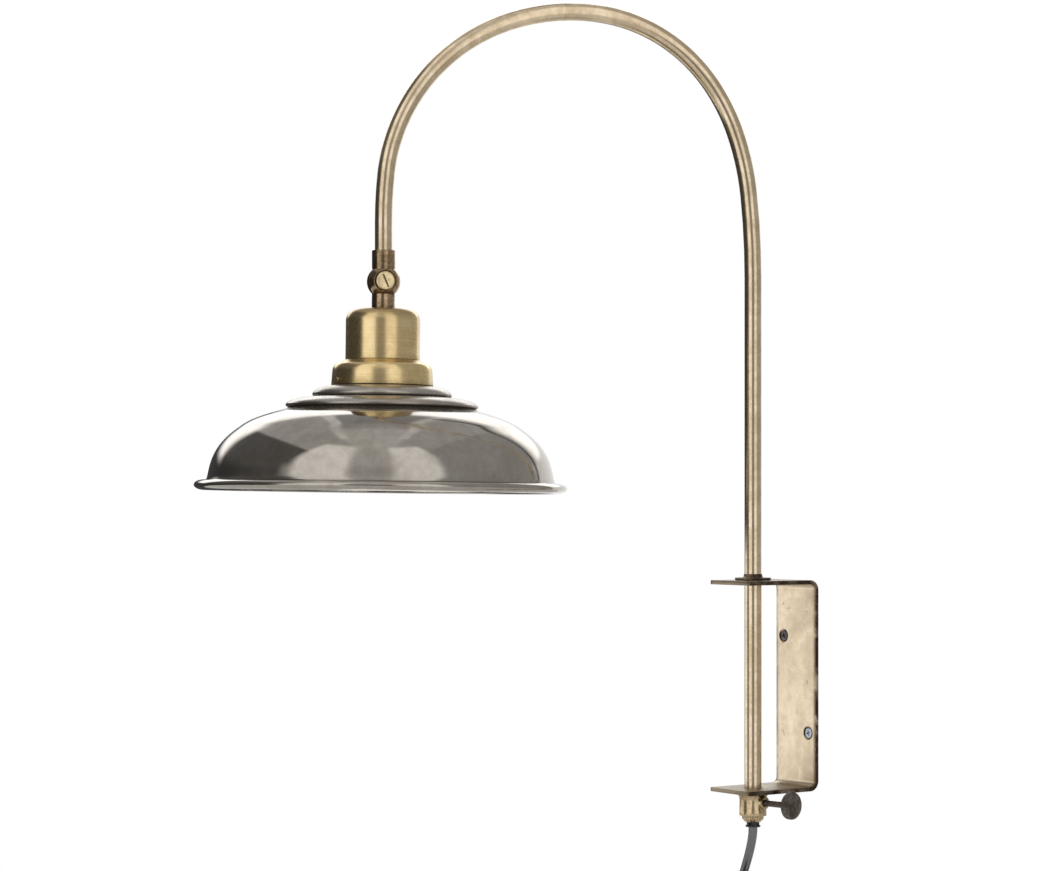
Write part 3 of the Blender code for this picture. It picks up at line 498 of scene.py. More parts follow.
def agedMetal(name, look):
    # patinated metal: clouds, spots, polishing lines, scratches and painted shade in the corners
    made = bpy.data.materials.new(name)
    made.use_nodes = True
    tree = made.node_tree
    shader = tree.nodes["Principled BSDF"]
    drawn, local = wherePoint(tree, look.get("mapping", "object"))
    aged = useGroup(tree, patina, {
        "Vector": local, "Scale": look["cloudScale"], "Contrast": look.get("contrast", 0.5),
        "Spots": look.get("spots", 0.3), "Light": look["light"], "Dark": look["dark"],
        "Spot Color": look.get("spotColour", look["dark"]),
    })
    lines = useGroup(tree, brushLines, {
        "Vector": drawn, "Stretch": look.get("stretch", (600, 600, 600)),
        "Amount": look.get("lineAmount", 0.5)})
    marks = useGroup(tree, scratches, {
        "Vector": local, "Scale": look.get("scratchScale", 40.0),
        "Amount": look.get("scratchAmount", 0.3)})["Mask"]
    colour = blendColours(tree, look.get("lineTint", 0.25), aged["Color"],
                          blendColours(tree, lines["Mask"], look["dark"], look["light"]))
    colour = blendColours(tree, marks, colour, look.get("scratchColour", look["light"]))
    roughness = remap(tree, aged["Clouds"], 0.0, 1.0, look["roughHigh"], look["roughLow"])
    roughness = sums(tree, "MULTIPLY_ADD", aged["Spots"], 0.2, roughness)
    if look.get("dullCore"):
        # polishing reaches the wide dome better than the tiers above it
        radius = vectorSums(tree, "LENGTH", vectorSums(tree, "MULTIPLY", ownPlace(tree), (1, 1, 0)))
        roughness = sums(tree, "ADD", roughness,
            remap(tree, radius, 0.074, 0.090, look["dullCore"], 0.0))
    if look.get("darkerTop"):
        # the cup is painted darker towards its top
        rise = addNode(tree, "SeparateXYZ", None, {0: ownPlace(tree)}).outputs[2]
        topDarkening = remap(tree, rise, look["darkerTop"][0], look["darkerTop"][1], 0.0, 0.8)
        colour = blendColours(tree, topDarkening, colour, look["topColour"])
    # painted shade: corners and recesses are darkened, and made rougher
    if look.get("cornerShade", 0) > 0:
        cornerShadeMask = useGroup(tree, cornerShade, {
            "Vector": local, "Reach": look.get("cornerShadeReach", 0.003),
            "Amount": look["cornerShade"]})["Mask"]
        colour = blendColours(tree, cornerShadeMask, colour, look.get("cornerShadeColour", (0.03, 0.022, 0.015)))
        roughness = sums(tree, "MULTIPLY_ADD", cornerShadeMask, 0.35, roughness)
    if look.get("edgeShade"):
        # the flanges away from the wall are painted darker and rougher; painted shade
        # along the strip's sides and on edges by the way they face, worn bright in places
        across, out, rise = addNode(tree, "SeparateXYZ", None, {0: local}).outputs
        facing = addNode(tree, "SeparateXYZ", None,
            {0: addNode(tree, "NewGeometry").outputs["Normal"]}).outputs[0]
        worn = remap(tree, noiseValue(tree, local, 60.0, 5.0, 0.65), 0.46, 0.66, 1.0, 0.3)
        flange = remap(tree, out, -0.013, -0.006, 0.8, 0.0)
        colour = blendColours(tree, flange, colour, look["flangeTint"])
        roughness = sums(tree, "MULTIPLY_ADD", flange, 0.12, roughness)
        side = remap(tree, sums(tree, "ABSOLUTE", across), 0.0205, 0.0252, 0.0, 0.75)
        side = sums(tree, "MULTIPLY", side, worn)
        edge = sums(tree, "MULTIPLY", remap(tree, sums(tree, "ABSOLUTE", facing), 0.2, 0.6), worn)
        colour = blendColours(tree, sums(tree, "MAXIMUM", side, edge), colour, look["edgeShade"])
    feed(tree, shader.inputs["Base Color"], colour)
    feed(tree, shader.inputs["Roughness"], roughness)
    shader.inputs["Metallic"].default_value = look.get("metallic", 1.0)
    height = sums(tree, "MULTIPLY_ADD", aged["Clouds"], look.get("cloudHeight", 0.3),
        lines["Height"])
    height = sums(tree, "MULTIPLY_ADD", marks, -0.4, height)
    bump = addNode(tree, "Bump", None, {
        "Strength": look.get("bump", 0.15), "Distance": look.get("bumpDistance", 0.0003),
        "Height": height})
    feed(tree, shader.inputs["Normal"], bump.outputs[0])
    if look.get("anisotropy"):
        shader.inputs["Anisotropic"].default_value = look["anisotropy"]
        shader.inputs["Anisotropic Rotation"].default_value = 0.25
        tangent = addNode(tree, "Tangent", {"direction_type": "UV_MAP", "uv_map": "wrap"})
        feed(tree, shader.inputs["Tangent"], tangent.outputs[0])
    return made


def mouldedPlastic(name, look):
    # moulded plastic or rubber: fine pebble, faint dust and a soft gloss change
    made = bpy.data.materials.new(name)
    made.use_nodes = True
    tree = made.node_tree
    shader = tree.nodes["Principled BSDF"]
    local = wherePoint(tree, look.get("mapping", "object"))[1]
    aged = useGroup(tree, patina, {
        "Vector": local, "Scale": look.get("cloudScale", 70.0), "Contrast": 0.2,
        "Spots": look.get("dust", 0.15),
        "Light": look["light"], "Dark": look["dark"],
        "Spot Color": look.get("dustColour", (0.12, 0.115, 0.11)),
    })
    feed(tree, shader.inputs["Base Color"], aged["Color"])
    rough = remap(tree, aged["Clouds"], 0.0, 1.0, look["roughHigh"], look["roughLow"])
    feed(tree, shader.inputs["Roughness"], sums(tree, "MULTIPLY_ADD", aged["Spots"], 0.3, rough))
    pebble = noiseValue(tree, local, look.get("pebble", 2500.0), 2.0, 0.5)
    bump = addNode(tree, "Bump", None, {
        "Strength": look.get("bump", 0.1), "Distance": 0.0002, "Height": pebble})
    feed(tree, shader.inputs["Normal"], bump.outputs[0])
    shader.inputs["IOR"].default_value = look.get("ior", 1.5)
    if look.get("coat"):
        shader.inputs["Coat Weight"].default_value = look["coat"]
        shader.inputs["Coat IOR"].default_value = 1.7
        shader.inputs["Coat Roughness"].default_value = 0.12
    return made


# the corner amounts, reaches and colours in these finishes set painted shade in corners and
# recesses
finishes = {
    "tubeBrass": agedMetal("tubeBrass", {
        "mapping": "run", "light": (0.82, 0.68, 0.49), "dark": (0.54, 0.42, 0.27),
        "spotColour": (0.26, 0.18, 0.09),
        "cloudScale": 0.05, "contrast": 0.3, "spots": 0.1, "roughLow": 0.17, "roughHigh": 0.24,
        "stretch": (2.2, 2.2, 0.05), "lineAmount": 0.5, "lineTint": 0.2, "bump": 0.006,
        "scratchScale": 0.3,
        "scratchAmount": 0.1,
    }),
    "bracketBrass": agedMetal("bracketBrass", {
        "light": (0.75, 0.64, 0.485), "dark": (0.58, 0.475, 0.34), "spotColour": (0.16, 0.10, 0.06),
        "cloudScale": 30.0,
        "contrast": 0.15, "spots": 0.7, "roughLow": 0.24, "roughHigh": 0.36,
        "stretch": (700, 700, 50),
        "lineTint": 0.12, "bump": 0.06, "scratchAmount": 0.3, "scratchColour": (0.3, 0.22, 0.15),
        "cornerShade": 0.7,
        # painted shade colour for the strip's sides and edges, and the darker flange colour
        "edgeShade": (0.055, 0.038, 0.024), "flangeTint": (0.20, 0.155, 0.105),
    }),
    "cupBrass": agedMetal("cupBrass", {
        "mapping": "turned", "light": (0.83, 0.655, 0.36), "dark": (0.60, 0.44, 0.21),
        "spotColour": (0.30, 0.19, 0.08),
        "cloudScale": 35.0, "contrast": 0.35, "spots": 0.14, "roughLow": 0.24, "roughHigh": 0.30,
        "stretch": (1.6, 1.6, 3800), "lineTint": 0.4, "lineAmount": 1.0, "bump": 0.06,
        "anisotropy": 0.6,
        "scratchAmount": 0.1, "cornerShade": 0.9, "cornerShadeReach": 0.006,
        "cornerShadeColour": (0.12, 0.075, 0.028),
        "darkerTop": (-0.0330, -0.0225), "topColour": (0.34, 0.24, 0.11),
    }),
    "knuckleBrass": agedMetal("knuckleBrass", {
        "mapping": "turned", "light": (0.53, 0.38, 0.235), "dark": (0.15, 0.095, 0.048),
        "spotColour": (0.08, 0.045, 0.02),
        "cloudScale": 60.0, "contrast": 0.5, "spots": 0.3, "roughLow": 0.10, "roughHigh": 0.20,
        "stretch": (1.5, 1.5, 2600), "bump": 0.05, "scratchAmount": 0.2, "cornerShade": 1.0,
        "cornerShadeReach": 0.006,
        "cornerShadeColour": (0.02, 0.012, 0.007),
    }),
    "collarBrass": agedMetal("collarBrass", {
        "mapping": "turned", "light": (0.68, 0.54, 0.33), "dark": (0.30, 0.20, 0.11),
        "spotColour": (0.06, 0.04, 0.025),
        "cloudScale": 70.0, "contrast": 0.5, "spots": 0.4, "roughLow": 0.13, "roughHigh": 0.28,
        "stretch": (40, 40, 900), "bump": 0.12, "bumpDistance": 0.0004, "cloudHeight": 1.0,
        "scratchAmount": 0.3,
        "cornerShade": 1.0, "cornerShadeReach": 0.007, "cornerShadeColour": (0.02, 0.014, 0.009),
    }),
    "screwBrass": agedMetal("screwBrass", {
        "mapping": "turned", "light": (0.80, 0.66, 0.40), "dark": (0.58, 0.44, 0.24),
        "spotColour": (0.25, 0.16, 0.08),
        "cloudScale": 180.0, "roughLow": 0.20, "roughHigh": 0.34, "stretch": (1.5, 1.5, 4200),
        "bump": 0.12,
        "cornerShade": 1.0, "cornerShadeReach": 0.0022,
    }),
    "knobSteel": agedMetal("knobSteel", {
        "mapping": "turned", "light": (0.20, 0.165, 0.14), "dark": (0.06, 0.045, 0.036),
        "spotColour": (0.30, 0.22, 0.14),
        "cloudScale": 120.0, "contrast": 0.6, "spots": 0.25, "roughLow": 0.38, "roughHigh": 0.6,
        "stretch": (2, 2, 2600), "bump": 0.3, "metallic": 0.9,
    }),
    "darkSteel": agedMetal("darkSteel", {
        "light": (0.16, 0.15, 0.15), "dark": (0.05, 0.045, 0.045), "cloudScale": 200.0,
        "roughLow": 0.3,
        "roughHigh": 0.5, "bump": 0.2, "cornerShade": 0.7, "cornerShadeReach": 0.0012,
    }),
    "zincSteel": agedMetal("zincSteel", {
        "light": (0.46, 0.51, 0.58), "dark": (0.26, 0.29, 0.34), "spotColour": (0.2, 0.16, 0.12),
        "cloudScale": 200.0,
        "roughLow": 0.22, "roughHigh": 0.4, "bump": 0.15, "cornerShade": 0.8, "cornerShadeReach": 0.0012,
    }),
    "contactBrass": agedMetal("contactBrass", {
        "light": (0.80, 0.65, 0.36), "dark": (0.62, 0.48, 0.24), "cloudScale": 90.0,
        "roughLow": 0.18,
        "roughHigh": 0.3, "bump": 0.1,
    }),
    "pewter": agedMetal("pewter", {
        "mapping": "turned", "light": (0.46, 0.425, 0.38), "dark": (0.36, 0.325, 0.28),
        "spotColour": (0.24, 0.21, 0.17),
        "cloudScale": 26.0, "contrast": 0.5, "spots": 0.45, "roughLow": 0.06, "roughHigh": 0.12,
        "stretch": (3, 3, 1200), "lineTint": 0.12, "lineAmount": 0.3, "bump": 0.02,
        "scratchScale": 14.0,
        "scratchAmount": 0.16, "scratchColour": (0.56, 0.53, 0.49), "cornerShade": 0.5,
        "cornerShadeReach": 0.006,
        "cornerShadeColour": (0.10, 0.09, 0.075), "dullCore": 0.20,
    }),
    "blackFlex": mouldedPlastic("blackFlex", {
        "mapping": "run", "light": (0.016, 0.016, 0.018), "dark": (0.008, 0.008, 0.009),
        "roughLow": 0.16,
        "roughHigh": 0.22, "cloudScale": 1.5, "pebble": 60.0, "bump": 0.02, "dust": 0.06,
        "ior": 2.1, "coat": 1.0,
    }),
    "blackRubber": mouldedPlastic("blackRubber", {
        "light": (0.022, 0.022, 0.023), "dark": (0.010, 0.010, 0.011), "roughLow": 0.38,
        "roughHigh": 0.55,
    }),
    "phenolic": mouldedPlastic("phenolic", {
        "light": (0.026, 0.023, 0.021), "dark": (0.012, 0.011, 0.010), "roughLow": 0.2,
        "roughHigh": 0.34, "bump": 0.05,
    }),
    "strap": mouldedPlastic("strap", {
        "light": (0.020, 0.020, 0.021), "dark": (0.008, 0.008, 0.008), "roughLow": 0.75,
        "roughHigh": 0.9,
        "pebble": 3800.0, "bump": 0.9, "dust": 0.1,
    }),
    "fibre": mouldedPlastic("fibre", {
        "light": (0.30, 0.10, 0.05), "dark": (0.16, 0.05, 0.03), "roughLow": 0.6, "roughHigh": 0.8,
        "bump": 0.3,
    }),
}
print("finishes ready:", len(finishes))


# where the moving parts stand at rest

swingJoint = joints["arm_swing"]
tiltJoint = joints["shade_tilt"]
restSwing = math.atan2(tiltJoint["axis"][1], tiltJoint["axis"][0])
restTilt = math.radians(-0.7)      # the shade hangs a little outwards
armPlace = Matrix.Translation(swingJoint["pos_m"]) @ Matrix.Rotation(restSwing, 4, "Z")
pivotPlace = Matrix.Translation(tiltJoint["pos_m"]) @ Matrix.Rotation(restSwing, 4, "Z")
headPlace = pivotPlace @ Matrix.Rotation(restTilt, 4, "X")
sideways = Matrix.Rotation(math.radians(90), 4, "Y")
tubeLine = swingJoint["pos_m"][1]  # the tube stands this far in front of the wall, towards -Y


# cord, its plug and its tie

cordShape = {
    "width": 0.0074,
    "thickness": 0.0037,
    "drop": (
        (0.0000, -0.0500, -0.1162), (-0.0002, -0.0500, -0.1210), (-0.0013, -0.0500, -0.1270),
        (-0.0040, -0.0500, -0.1360), (-0.0079, -0.0500, -0.1460), (-0.0117, -0.0500, -0.1545),
        (-0.0150, -0.0500, -0.1594),
    ),
    "tail": (
        (-0.0502, -0.0422, -0.2400), (-0.0500, -0.0422, -0.2470), (-0.0494, -0.0422, -0.2560),
        (-0.0488, -0.0422, -0.2640), (-0.0486, -0.0422, -0.2698),
    ),
    "coilCentre": (-0.0013, -0.2132),
    "coilOuter": 0.0489,
    "coilInner": 0.0363,
    "coilColumns": (-0.0500, -0.0422),
    "joinsAt": 120,               # degrees round the coil
    "leavesAt": 180,
    "turns": 6,
    "spacing": 0.0035,
}


def cordRoute():
    shape = cordShape
    centreX, centreZ = shape["coilCentre"]
    start = shape["joinsAt"]
    total = shape["leavesAt"] + 360 * shape["turns"] - start
    route = [Vector(point) for point in shape["drop"]]
    steps = round(total / 7.5)
    for step in range(steps + 1):
        share = step / steps
        inwards = 1 - abs(2 * share - 1)
        radius = shape["coilOuter"] + (shape["coilInner"] - shape["coilOuter"]) * inwards
        angle = math.radians(start + total * share)
        crossing = max(0.0, min(1.0, (share - 0.5) * total / 90 + 0.5))
        crossing = crossing * crossing * (3 - 2 * crossing)
        near, far = shape["coilColumns"]
        route.append(Vector((
            centreX + radius * math.cos(angle),
            near + (far - near) * crossing,
            centreZ + radius * math.sin(angle),
        )))
    route += [Vector(point) for point in shape["tail"]]
    return evenRoute(route, shape["spacing"])


def evenRoute(points, spacing):
    # a smooth curve through the points, then points an even distance apart
    guides = [points[0] * 2 - points[1]] + points + [points[-1] * 2 - points[-2]]
    fine = []
    for index in range(1, len(guides) - 2):
        a, b, c, d = guides[index - 1:index + 3]
        for step in range(8):
            t = step / 8
            curve = (
                (c - a) * t + (a * 2 - b * 5 + c * 4 - d) * t ** 2
                + (b * 3 - a - c * 3 + d) * t ** 3
            )
            fine.append(b + curve / 2)
    fine.append(points[-1])
    made, owed = [fine[0]], spacing
    for near, far in zip(fine, fine[1:]):
        length = (far - near).length
        while owed <= length:
            made.append(near.lerp(far, owed / length))
            owed += spacing
        owed -= length
    if (made[-1] - fine[-1]).length > spacing / 3:
        made.append(fine[-1])
    return made


def twinProfile(width, thickness):
    # two round cores side by side with a shallow waist
    radius = thickness / 2
    offset = width / 2 - radius
    right = arcPoints((offset, 0), radius, -128, 128, 12)
    left = arcPoints((-offset, 0), radius, 52, 308, 12)
    return right + left


def buildCord():
    route = cordRoute()
    profile = twinProfile(cordShape["width"], cordShape["thickness"])
    facing = Vector((math.cos(math.radians(cameraLook["bearing"])),
        math.sin(math.radians(cameraLook["bearing"])), 0))
    across = Vector((0, 1, 0))
    rings, runs, travelled = [], [], 0.0
    for index, here in enumerate(route):
        before = route[max(0, index - 1)]
        after = route[min(len(route) - 1, index + 1)]
        along = (after - before).normalized()
        share = min(1.0, travelled / 0.09)
        wide = facing.lerp(across, share * share * (3 - 2 * share))
        wide = (wide - along * wide.dot(along)).normalized()
        thick = along.cross(wide)
        rings.append([here + wide * x + thick * y for x, y in profile])
        runs.append(travelled)
        travelled += (after - here).length
    mesh = loftRings(rings)
    piece = draft("cord", mesh)
    grain = piece.data.attributes.new("run", "FLOAT_VECTOR", "POINT")
    for index in range(len(piece.data.vertices)):
        x, y = profile[index % len(profile)]
        grain.data[index].vector = (x * 1000, y * 1000, runs[index // len(profile)] * 1000)
    dress(piece, finishes["blackFlex"], "mount",
        ("cord_drop", "cord_coil", "cord_tail"), 60)
    length = sum((b - a).length for a, b in zip(route, route[1:]))
    print("cord is", round(length, 3), "m long with", len(route), "points")
    return piece, route, length


plugShape = {
    "reliefLength": 0.022, "reliefTop": 0.0042, "reliefBottom": 0.0070,
    "bodyWidth": 0.024, "bodyDepth": 0.016, "bodyLength": 0.026, "gap": 0.0003,
}


def buildPlug(place):
    shape = plugShape
    count = 40
    top = place.z - shape["gap"]
    rings = []

    def ring(halfX, halfY, height, power):
        points = []
        for step in range(count):
            turn = math.tau * step / count
            c, s = math.cos(turn), math.sin(turn)
            grown = (abs(c) ** power + abs(s) ** power) ** (-1 / power)
            points.append(Vector((place.x + halfX * grown * c, place.y + halfY * grown * s,
                height)))
        rings.append(points)

    # strain relief: eleven soft rings
    steps = 44
    for step in range(steps + 1):
        share = step / steps
        ribbed = (
            0.00042 * (0.5 + 0.5 * math.cos(share * 11 * math.tau))
            if 0.06 < share < 0.94 else 0.0002
        )
        radius = (
            shape["reliefTop"]
            + (shape["reliefBottom"] - shape["reliefTop"]) * share ** 1.3 - ribbed
        )
        ring(radius, radius, top - shape["reliefLength"] * share, 2.0)
    bodyTop = top - shape["reliefLength"]
    halfX, halfY = shape["bodyWidth"] / 2, shape["bodyDepth"] / 2
    profile = (
        (0.03, 0.66, 2.2), (0.07, 0.78, 2.5), (0.13, 0.89, 2.9), (0.22, 0.965, 3.3),
        (0.34, 1.0, 3.7), (0.46, 0.985, 4.0),
        (0.52, 0.955, 4.0), (0.56, 0.985, 4.0), (0.62, 0.95, 4.0), (0.67, 0.985, 4.0),
        (0.73, 0.95, 4.0), (0.78, 0.985, 4.0),
        (0.86, 1.0, 4.2), (0.95, 1.0, 4.2), (0.985, 0.985, 4.2), (1.0, 0.95, 4.2),
    )
    for share, size, power in profile:
        ring(halfX * size, halfY * size, bodyTop - shape["bodyLength"] * share, power)
    plug = draft("plug", loftRings(rings))
    return dress(plug, finishes["blackRubber"], "mount", ("plug_body",), 50)


tieShape = {"angle": 142.0, "middleRadius": 0.0427, "bundle": 0.0170, "breadth": 0.0156,
    "width": 0.009,
            "thickness": 0.0009, "slack": 0.0009, "centreY": -0.0461}


def buildTie():
    shape = tieShape
    angle = math.radians(shape["angle"])
    centreX, centreZ = cordShape["coilCentre"]
    middle = Vector((centreX + shape["middleRadius"] * math.cos(angle), shape["centreY"],
                     centreZ + shape["middleRadius"] * math.sin(angle)))
    place = Matrix.Translation(middle) @ Matrix.Rotation(-angle, 4, "Y")
    halfX = shape["bundle"] / 2 + shape["slack"]
    halfY = shape["breadth"] / 2 + shape["slack"]
    corner = 0.0032
    loop = []
    for x, y, start in ((halfX, halfY, 0), (-halfX, halfY, 90), (-halfX, -halfY, 180),
            (halfX, -halfY, 270)):
        middlePoint = (x - math.copysign(corner, x), y - math.copysign(corner, y))
        loop += arcPoints(middlePoint, corner, start, start + 90, 8)
    rings = []
    for x, y in loop:
        grown = 1 + shape["thickness"] / math.hypot(x, y)
        half = shape["width"] / 2
        edge = 0.0002
        rings.append([Vector((x, y, -half + edge)), Vector((x, y, half - edge)),
                      Vector((x * grown, y * grown, half - edge)),
                      Vector((x * grown, y * grown, -half + edge))])
    mesh = loftRings(rings + [rings[0]], capEnds=False)
    tie = draft("cordTie", mesh, place)
    bevelEdges(tie, 0.0002, 2, 60)
    return dress(tie, finishes["strap"], "mount", ("cord_tie",))


cordPiece, cordPoints, cordLength = buildCord()
plugPiece = buildPlug(cordPoints[-1])
tiePiece = buildTie()
blades = [frame["nodes"][name] for name in ("plug_blade_1", "plug_blade_2")]
for blade in blades:
    blade.data.materials.clear()
    blade.data.materials.append(finishes["contactBrass"])
    bevelEdges(blade, 0.0003, 2)
print("cord, plug and tie built")


# wall bracket and its screws

bracketShape = {
    "height": 0.175, "width": 0.050, "depth": 0.075, "strip": 0.0035, "bend": 0.005, "edge": 0.0006,
    "tubeHole": 0.0073, "screwAcross": 0.0155, "screwUp": 0.040, "sink": 0.00575,
    "sinkDepth": 0.0026,
    "screwHole": 0.0024, "headRadius": 0.0043, "headDrop": 0.0005, "headHeight": 0.0020,
    "shank": 0.0021,
}


def buildBracket():
    shape = bracketShape
    top = shape["height"] / 2
    outer = shape["bend"] + shape["strip"]
    upper, lower = (-outer, top - outer), (-outer, outer - top)
    outline = [(-shape["depth"], top)]
    outline += arcPoints(upper, outer, 90, 0, 14)
    outline += arcPoints(lower, outer, 0, -90, 14)
    outline += [(-shape["depth"], -top), (-shape["depth"], shape["strip"] - top)]
    outline += arcPoints(lower, shape["bend"], -90, 0, 14)
    outline += arcPoints(upper, shape["bend"], 0, 90, 14)
    outline += [(-shape["depth"], top - shape["strip"])]
    bracket = draft("wallBracket", extrudeOutline(outline, shape["width"]))
    bevelEdges(bracket, shape["edge"], 3, 60)
    tall = shape["height"]
    bore = [(0, -tall), (shape["tubeHole"], -tall), (shape["tubeHole"], tall), (0, tall)]
    cutters = [turned("bore", bore, Matrix.Translation((0, tubeLine, 0)), 72)]
    for side in (-1, 1):
        place = Matrix.Translation((side * shape["screwAcross"], 0, -side * shape["screwUp"]))
        place = place @ Matrix.Rotation(math.radians(90), 4, "X")
        face = shape["strip"]
        sink = [(0, -0.001), (shape["screwHole"], -0.001),
            (shape["screwHole"], face - shape["sinkDepth"]),
                (shape["sink"], face), (shape["sink"] + 0.0003, face + 0.001), (0, face + 0.001)]
        cutters.append(turned("sink", sink, place, 48))
    carve(bracket, *cutters)
    dress(bracket, finishes["bracketBrass"], "mount", ("bracket",), 30)


def buildWallScrew(name, side, node, finish):
    shape = bracketShape
    place = Matrix.Translation((side * shape["screwAcross"], 0, -side * shape["screwUp"]))
    place = place @ Matrix.Rotation(math.radians(90), 4, "X")
    head = shape["strip"] - shape["headDrop"]
    radius = shape["headRadius"]
    outline = [(0, 0.0001), (shape["shank"], 0.0001), (shape["shank"], head - shape["headHeight"])]
    outline += [(radius, head - 0.0004), (radius - 0.0002, head - 0.0001), (radius * 0.7, head),
        (0, head)]
    screw = turned(name, outline, place, 48, 0.0002)
    cutters = []
    for size in ((0.0050, 0.0011, 0.0022), (0.0011, 0.0050, 0.0022)):
        blade = draft("blade", boxMesh(size, (0, 0, head)),
            place @ Matrix.Rotation(math.radians(18), 4, "Z"))
        cutters.append(bevelEdges(blade, 0.0003, 2))
    cone = [(0, head - 0.0015), (0.0011, head + 0.0002), (0, head + 0.0002)]
    cutters.append(turned("cone", cone, place, 24))
    carve(screw, *cutters)
    dress(screw, finishes[finish], "mount", (node,), 30)


buildBracket()
buildWallScrew("wallScrewUpper", -1, "wall_screw_upper", "darkSteel")
buildWallScrew("wallScrewLower", 1, "wall_screw_lower", "zincSteel")
print("bracket built")


# lock collar, thumb screw and cord bush

collarShape = {
    "top": -0.0878, "height": 0.0242, "flare": 0.0158, "flareHeight": 0.0062, "body": 0.0112,
    "step": 0.009,
    "stepHeight": 0.0052, "nose": 0.0066, "bore": 0.0073, "cordHole": 0.0056, "tubeEnd": -0.1063,
    "boss": 0.0052,
    "bossReach": 0.0135, "screwHeight": -0.0958, "yaw": 10.0,
}


def buildLockCollar():
    shape = collarShape
    top = shape["top"]
    bottom = top - shape["height"]
    flare = top - shape["flareHeight"]
    step = bottom + shape["stepHeight"]
    spread = shape["flare"] - shape["body"]
    outline = [(shape["bore"], top)]
    outline += [
        (shape["flare"] - spread * math.sin(turn), flare + shape["flareHeight"] * math.cos(turn))
        for turn in (math.radians(90 * index / 12) for index in range(13))
    ]
    outline += [(shape["body"], step + (flare - step) * share) for share in (0.75, 0.5, 0.25)]
    outline += [(shape["body"], step), (shape["step"], step - 0.0003),
        (shape["step"], step - shape["stepHeight"] / 2)]
    outline += [(shape["nose"], bottom), (shape["cordHole"], bottom),
        (shape["cordHole"], shape["tubeEnd"])]
    outline += [(shape["bore"], shape["tubeEnd"])]
    outline = roundCorners(outline, 0.0005)
    place = Matrix.Translation((0, tubeLine, 0))
    collar = turned("lockCollar", outline, place, 120)
    aim = Matrix.Translation((0, tubeLine,
        shape["screwHeight"])) @ Matrix.Rotation(math.radians(shape["yaw"]), 4, "Z")
    aim = aim @ sideways
    boss = [(0, 0.0092), (shape["boss"], 0.0092), (shape["boss"], shape["bossReach"]),
        (0, shape["bossReach"])]
    carve(collar, turned("boss", roundCorners(boss, 0.0005), aim, 56), operation="UNION")
    hole = [(0, 0.001), (0.0029, 0.001), (0.0029, 0.02), (0, 0.02)]
    carve(collar, turned("hole", hole, aim, 40))
    roughen(collar, 0.00022, 0.0022, 3.0)
    dress(collar, finishes["collarBrass"], "mount", ("lock_collar",), 40)


thumbShape = {"tip": 0.0073, "shank": 0.0026, "knob": 0.0112, "thickness": 0.005, "centre": 0.0405,
    "edge": 0.0007}


def buildThumbScrew():
    shape = thumbShape
    near = shape["centre"] - shape["thickness"] / 2
    far = shape["centre"] + shape["thickness"] / 2
    outline = [(0, shape["tip"]), (shape["shank"] - 0.0006, shape["tip"]),
        (shape["shank"], shape["tip"] + 0.0006)]
    # thread on the part of the shank that goes through the boss
    pitch = 0.0008
    height = shape["tip"] + 0.0012
    while height < near - 0.009:
        outline += [(shape["shank"], height), (shape["shank"] - 0.00045, height + pitch / 2)]
        height += pitch
    outline += [(shape["shank"], height), (shape["shank"], near - 0.0015),
        (shape["shank"] + 0.0012, near)]
    rim = shape["edge"]
    outline += [(shape["knob"] - rim, near), (shape["knob"], near + rim),
        (shape["knob"], far - rim)]
    outline += [(shape["knob"] - rim, far), (shape["knob"] - 0.0022, far),
        (shape["knob"] - 0.0030, far - 0.0004)]
    outline += [(0, far - 0.0004)]
    aim = Matrix.Translation((0, tubeLine, collarShape["screwHeight"]))
    aim = aim @ Matrix.Rotation(math.radians(collarShape["yaw"]), 4, "Z") @ sideways
    screw = turned("thumbScrew", roundCorners(outline, 0.0003), aim, 96)
    # shallow milled notches round the rim
    for vertex in screw.data.vertices:
        radius = math.hypot(vertex.co.x, vertex.co.y)
        if radius > shape["knob"] - 0.0004:
            turn = math.atan2(vertex.co.y, vertex.co.x)
            shrink = 1 - 0.022 * (0.5 + 0.5 * math.cos(turn * 48))
            vertex.co.x *= shrink
            vertex.co.y *= shrink
    dress(screw, finishes["knobSteel"], "thumb", ("thumb_screw",), 50)


bushShape = {"brimTop": -0.1148, "brim": 0.0062, "brimThickness": 0.0014, "radius": 0.0052,
    "bore": 0.0042,
             "length": 0.0075, "slit": 0.0026}


def buildBush():
    shape = bushShape
    bottom = shape["brimTop"] - shape["brimThickness"]
    top = bottom + shape["length"]
    outline = [(shape["bore"], bottom), (shape["brim"], bottom), (shape["brim"], shape["brimTop"])]
    outline += [(shape["radius"], shape["brimTop"]), (shape["radius"], top), (shape["bore"], top)]
    place = Matrix.Translation((0, tubeLine, 0))
    bush = turned("cordBush", outline, place, 72, 0.0003)
    cutters = []
    for size in ((0.016, shape["slit"]), (shape["slit"], 0.016)):
        centre = (0, 0, shape["brimTop"] + shape["length"] / 2)
        turn = Matrix.Rotation(math.radians(20), 4, "Z")
        cutters.append(draft("slit", boxMesh((*size, shape["length"]), centre), place @ turn))
    carve(bush, *cutters)
    dress(bush, finishes["blackRubber"], "mount", ("cord_bush",))


buildLockCollar()
buildThumbScrew()
buildBush()
print("collar, thumb screw and bush built")


# hooked tube and stop washer

tubeShape = {
    "radius": 0.007, "wall": 0.0012, "bottom": -0.106, "bendStart": 0.337, "lastLeg": 0.0327,
    "arcs": ((0.658, 6), (0.219, 14), (0.159, 16), (0.133, 48), (0.171, 28), (0.153, 50),
        (0.139, 12), (0.377, 6)),
    "sides": 48, "degreesPerRing": 2.0,
}


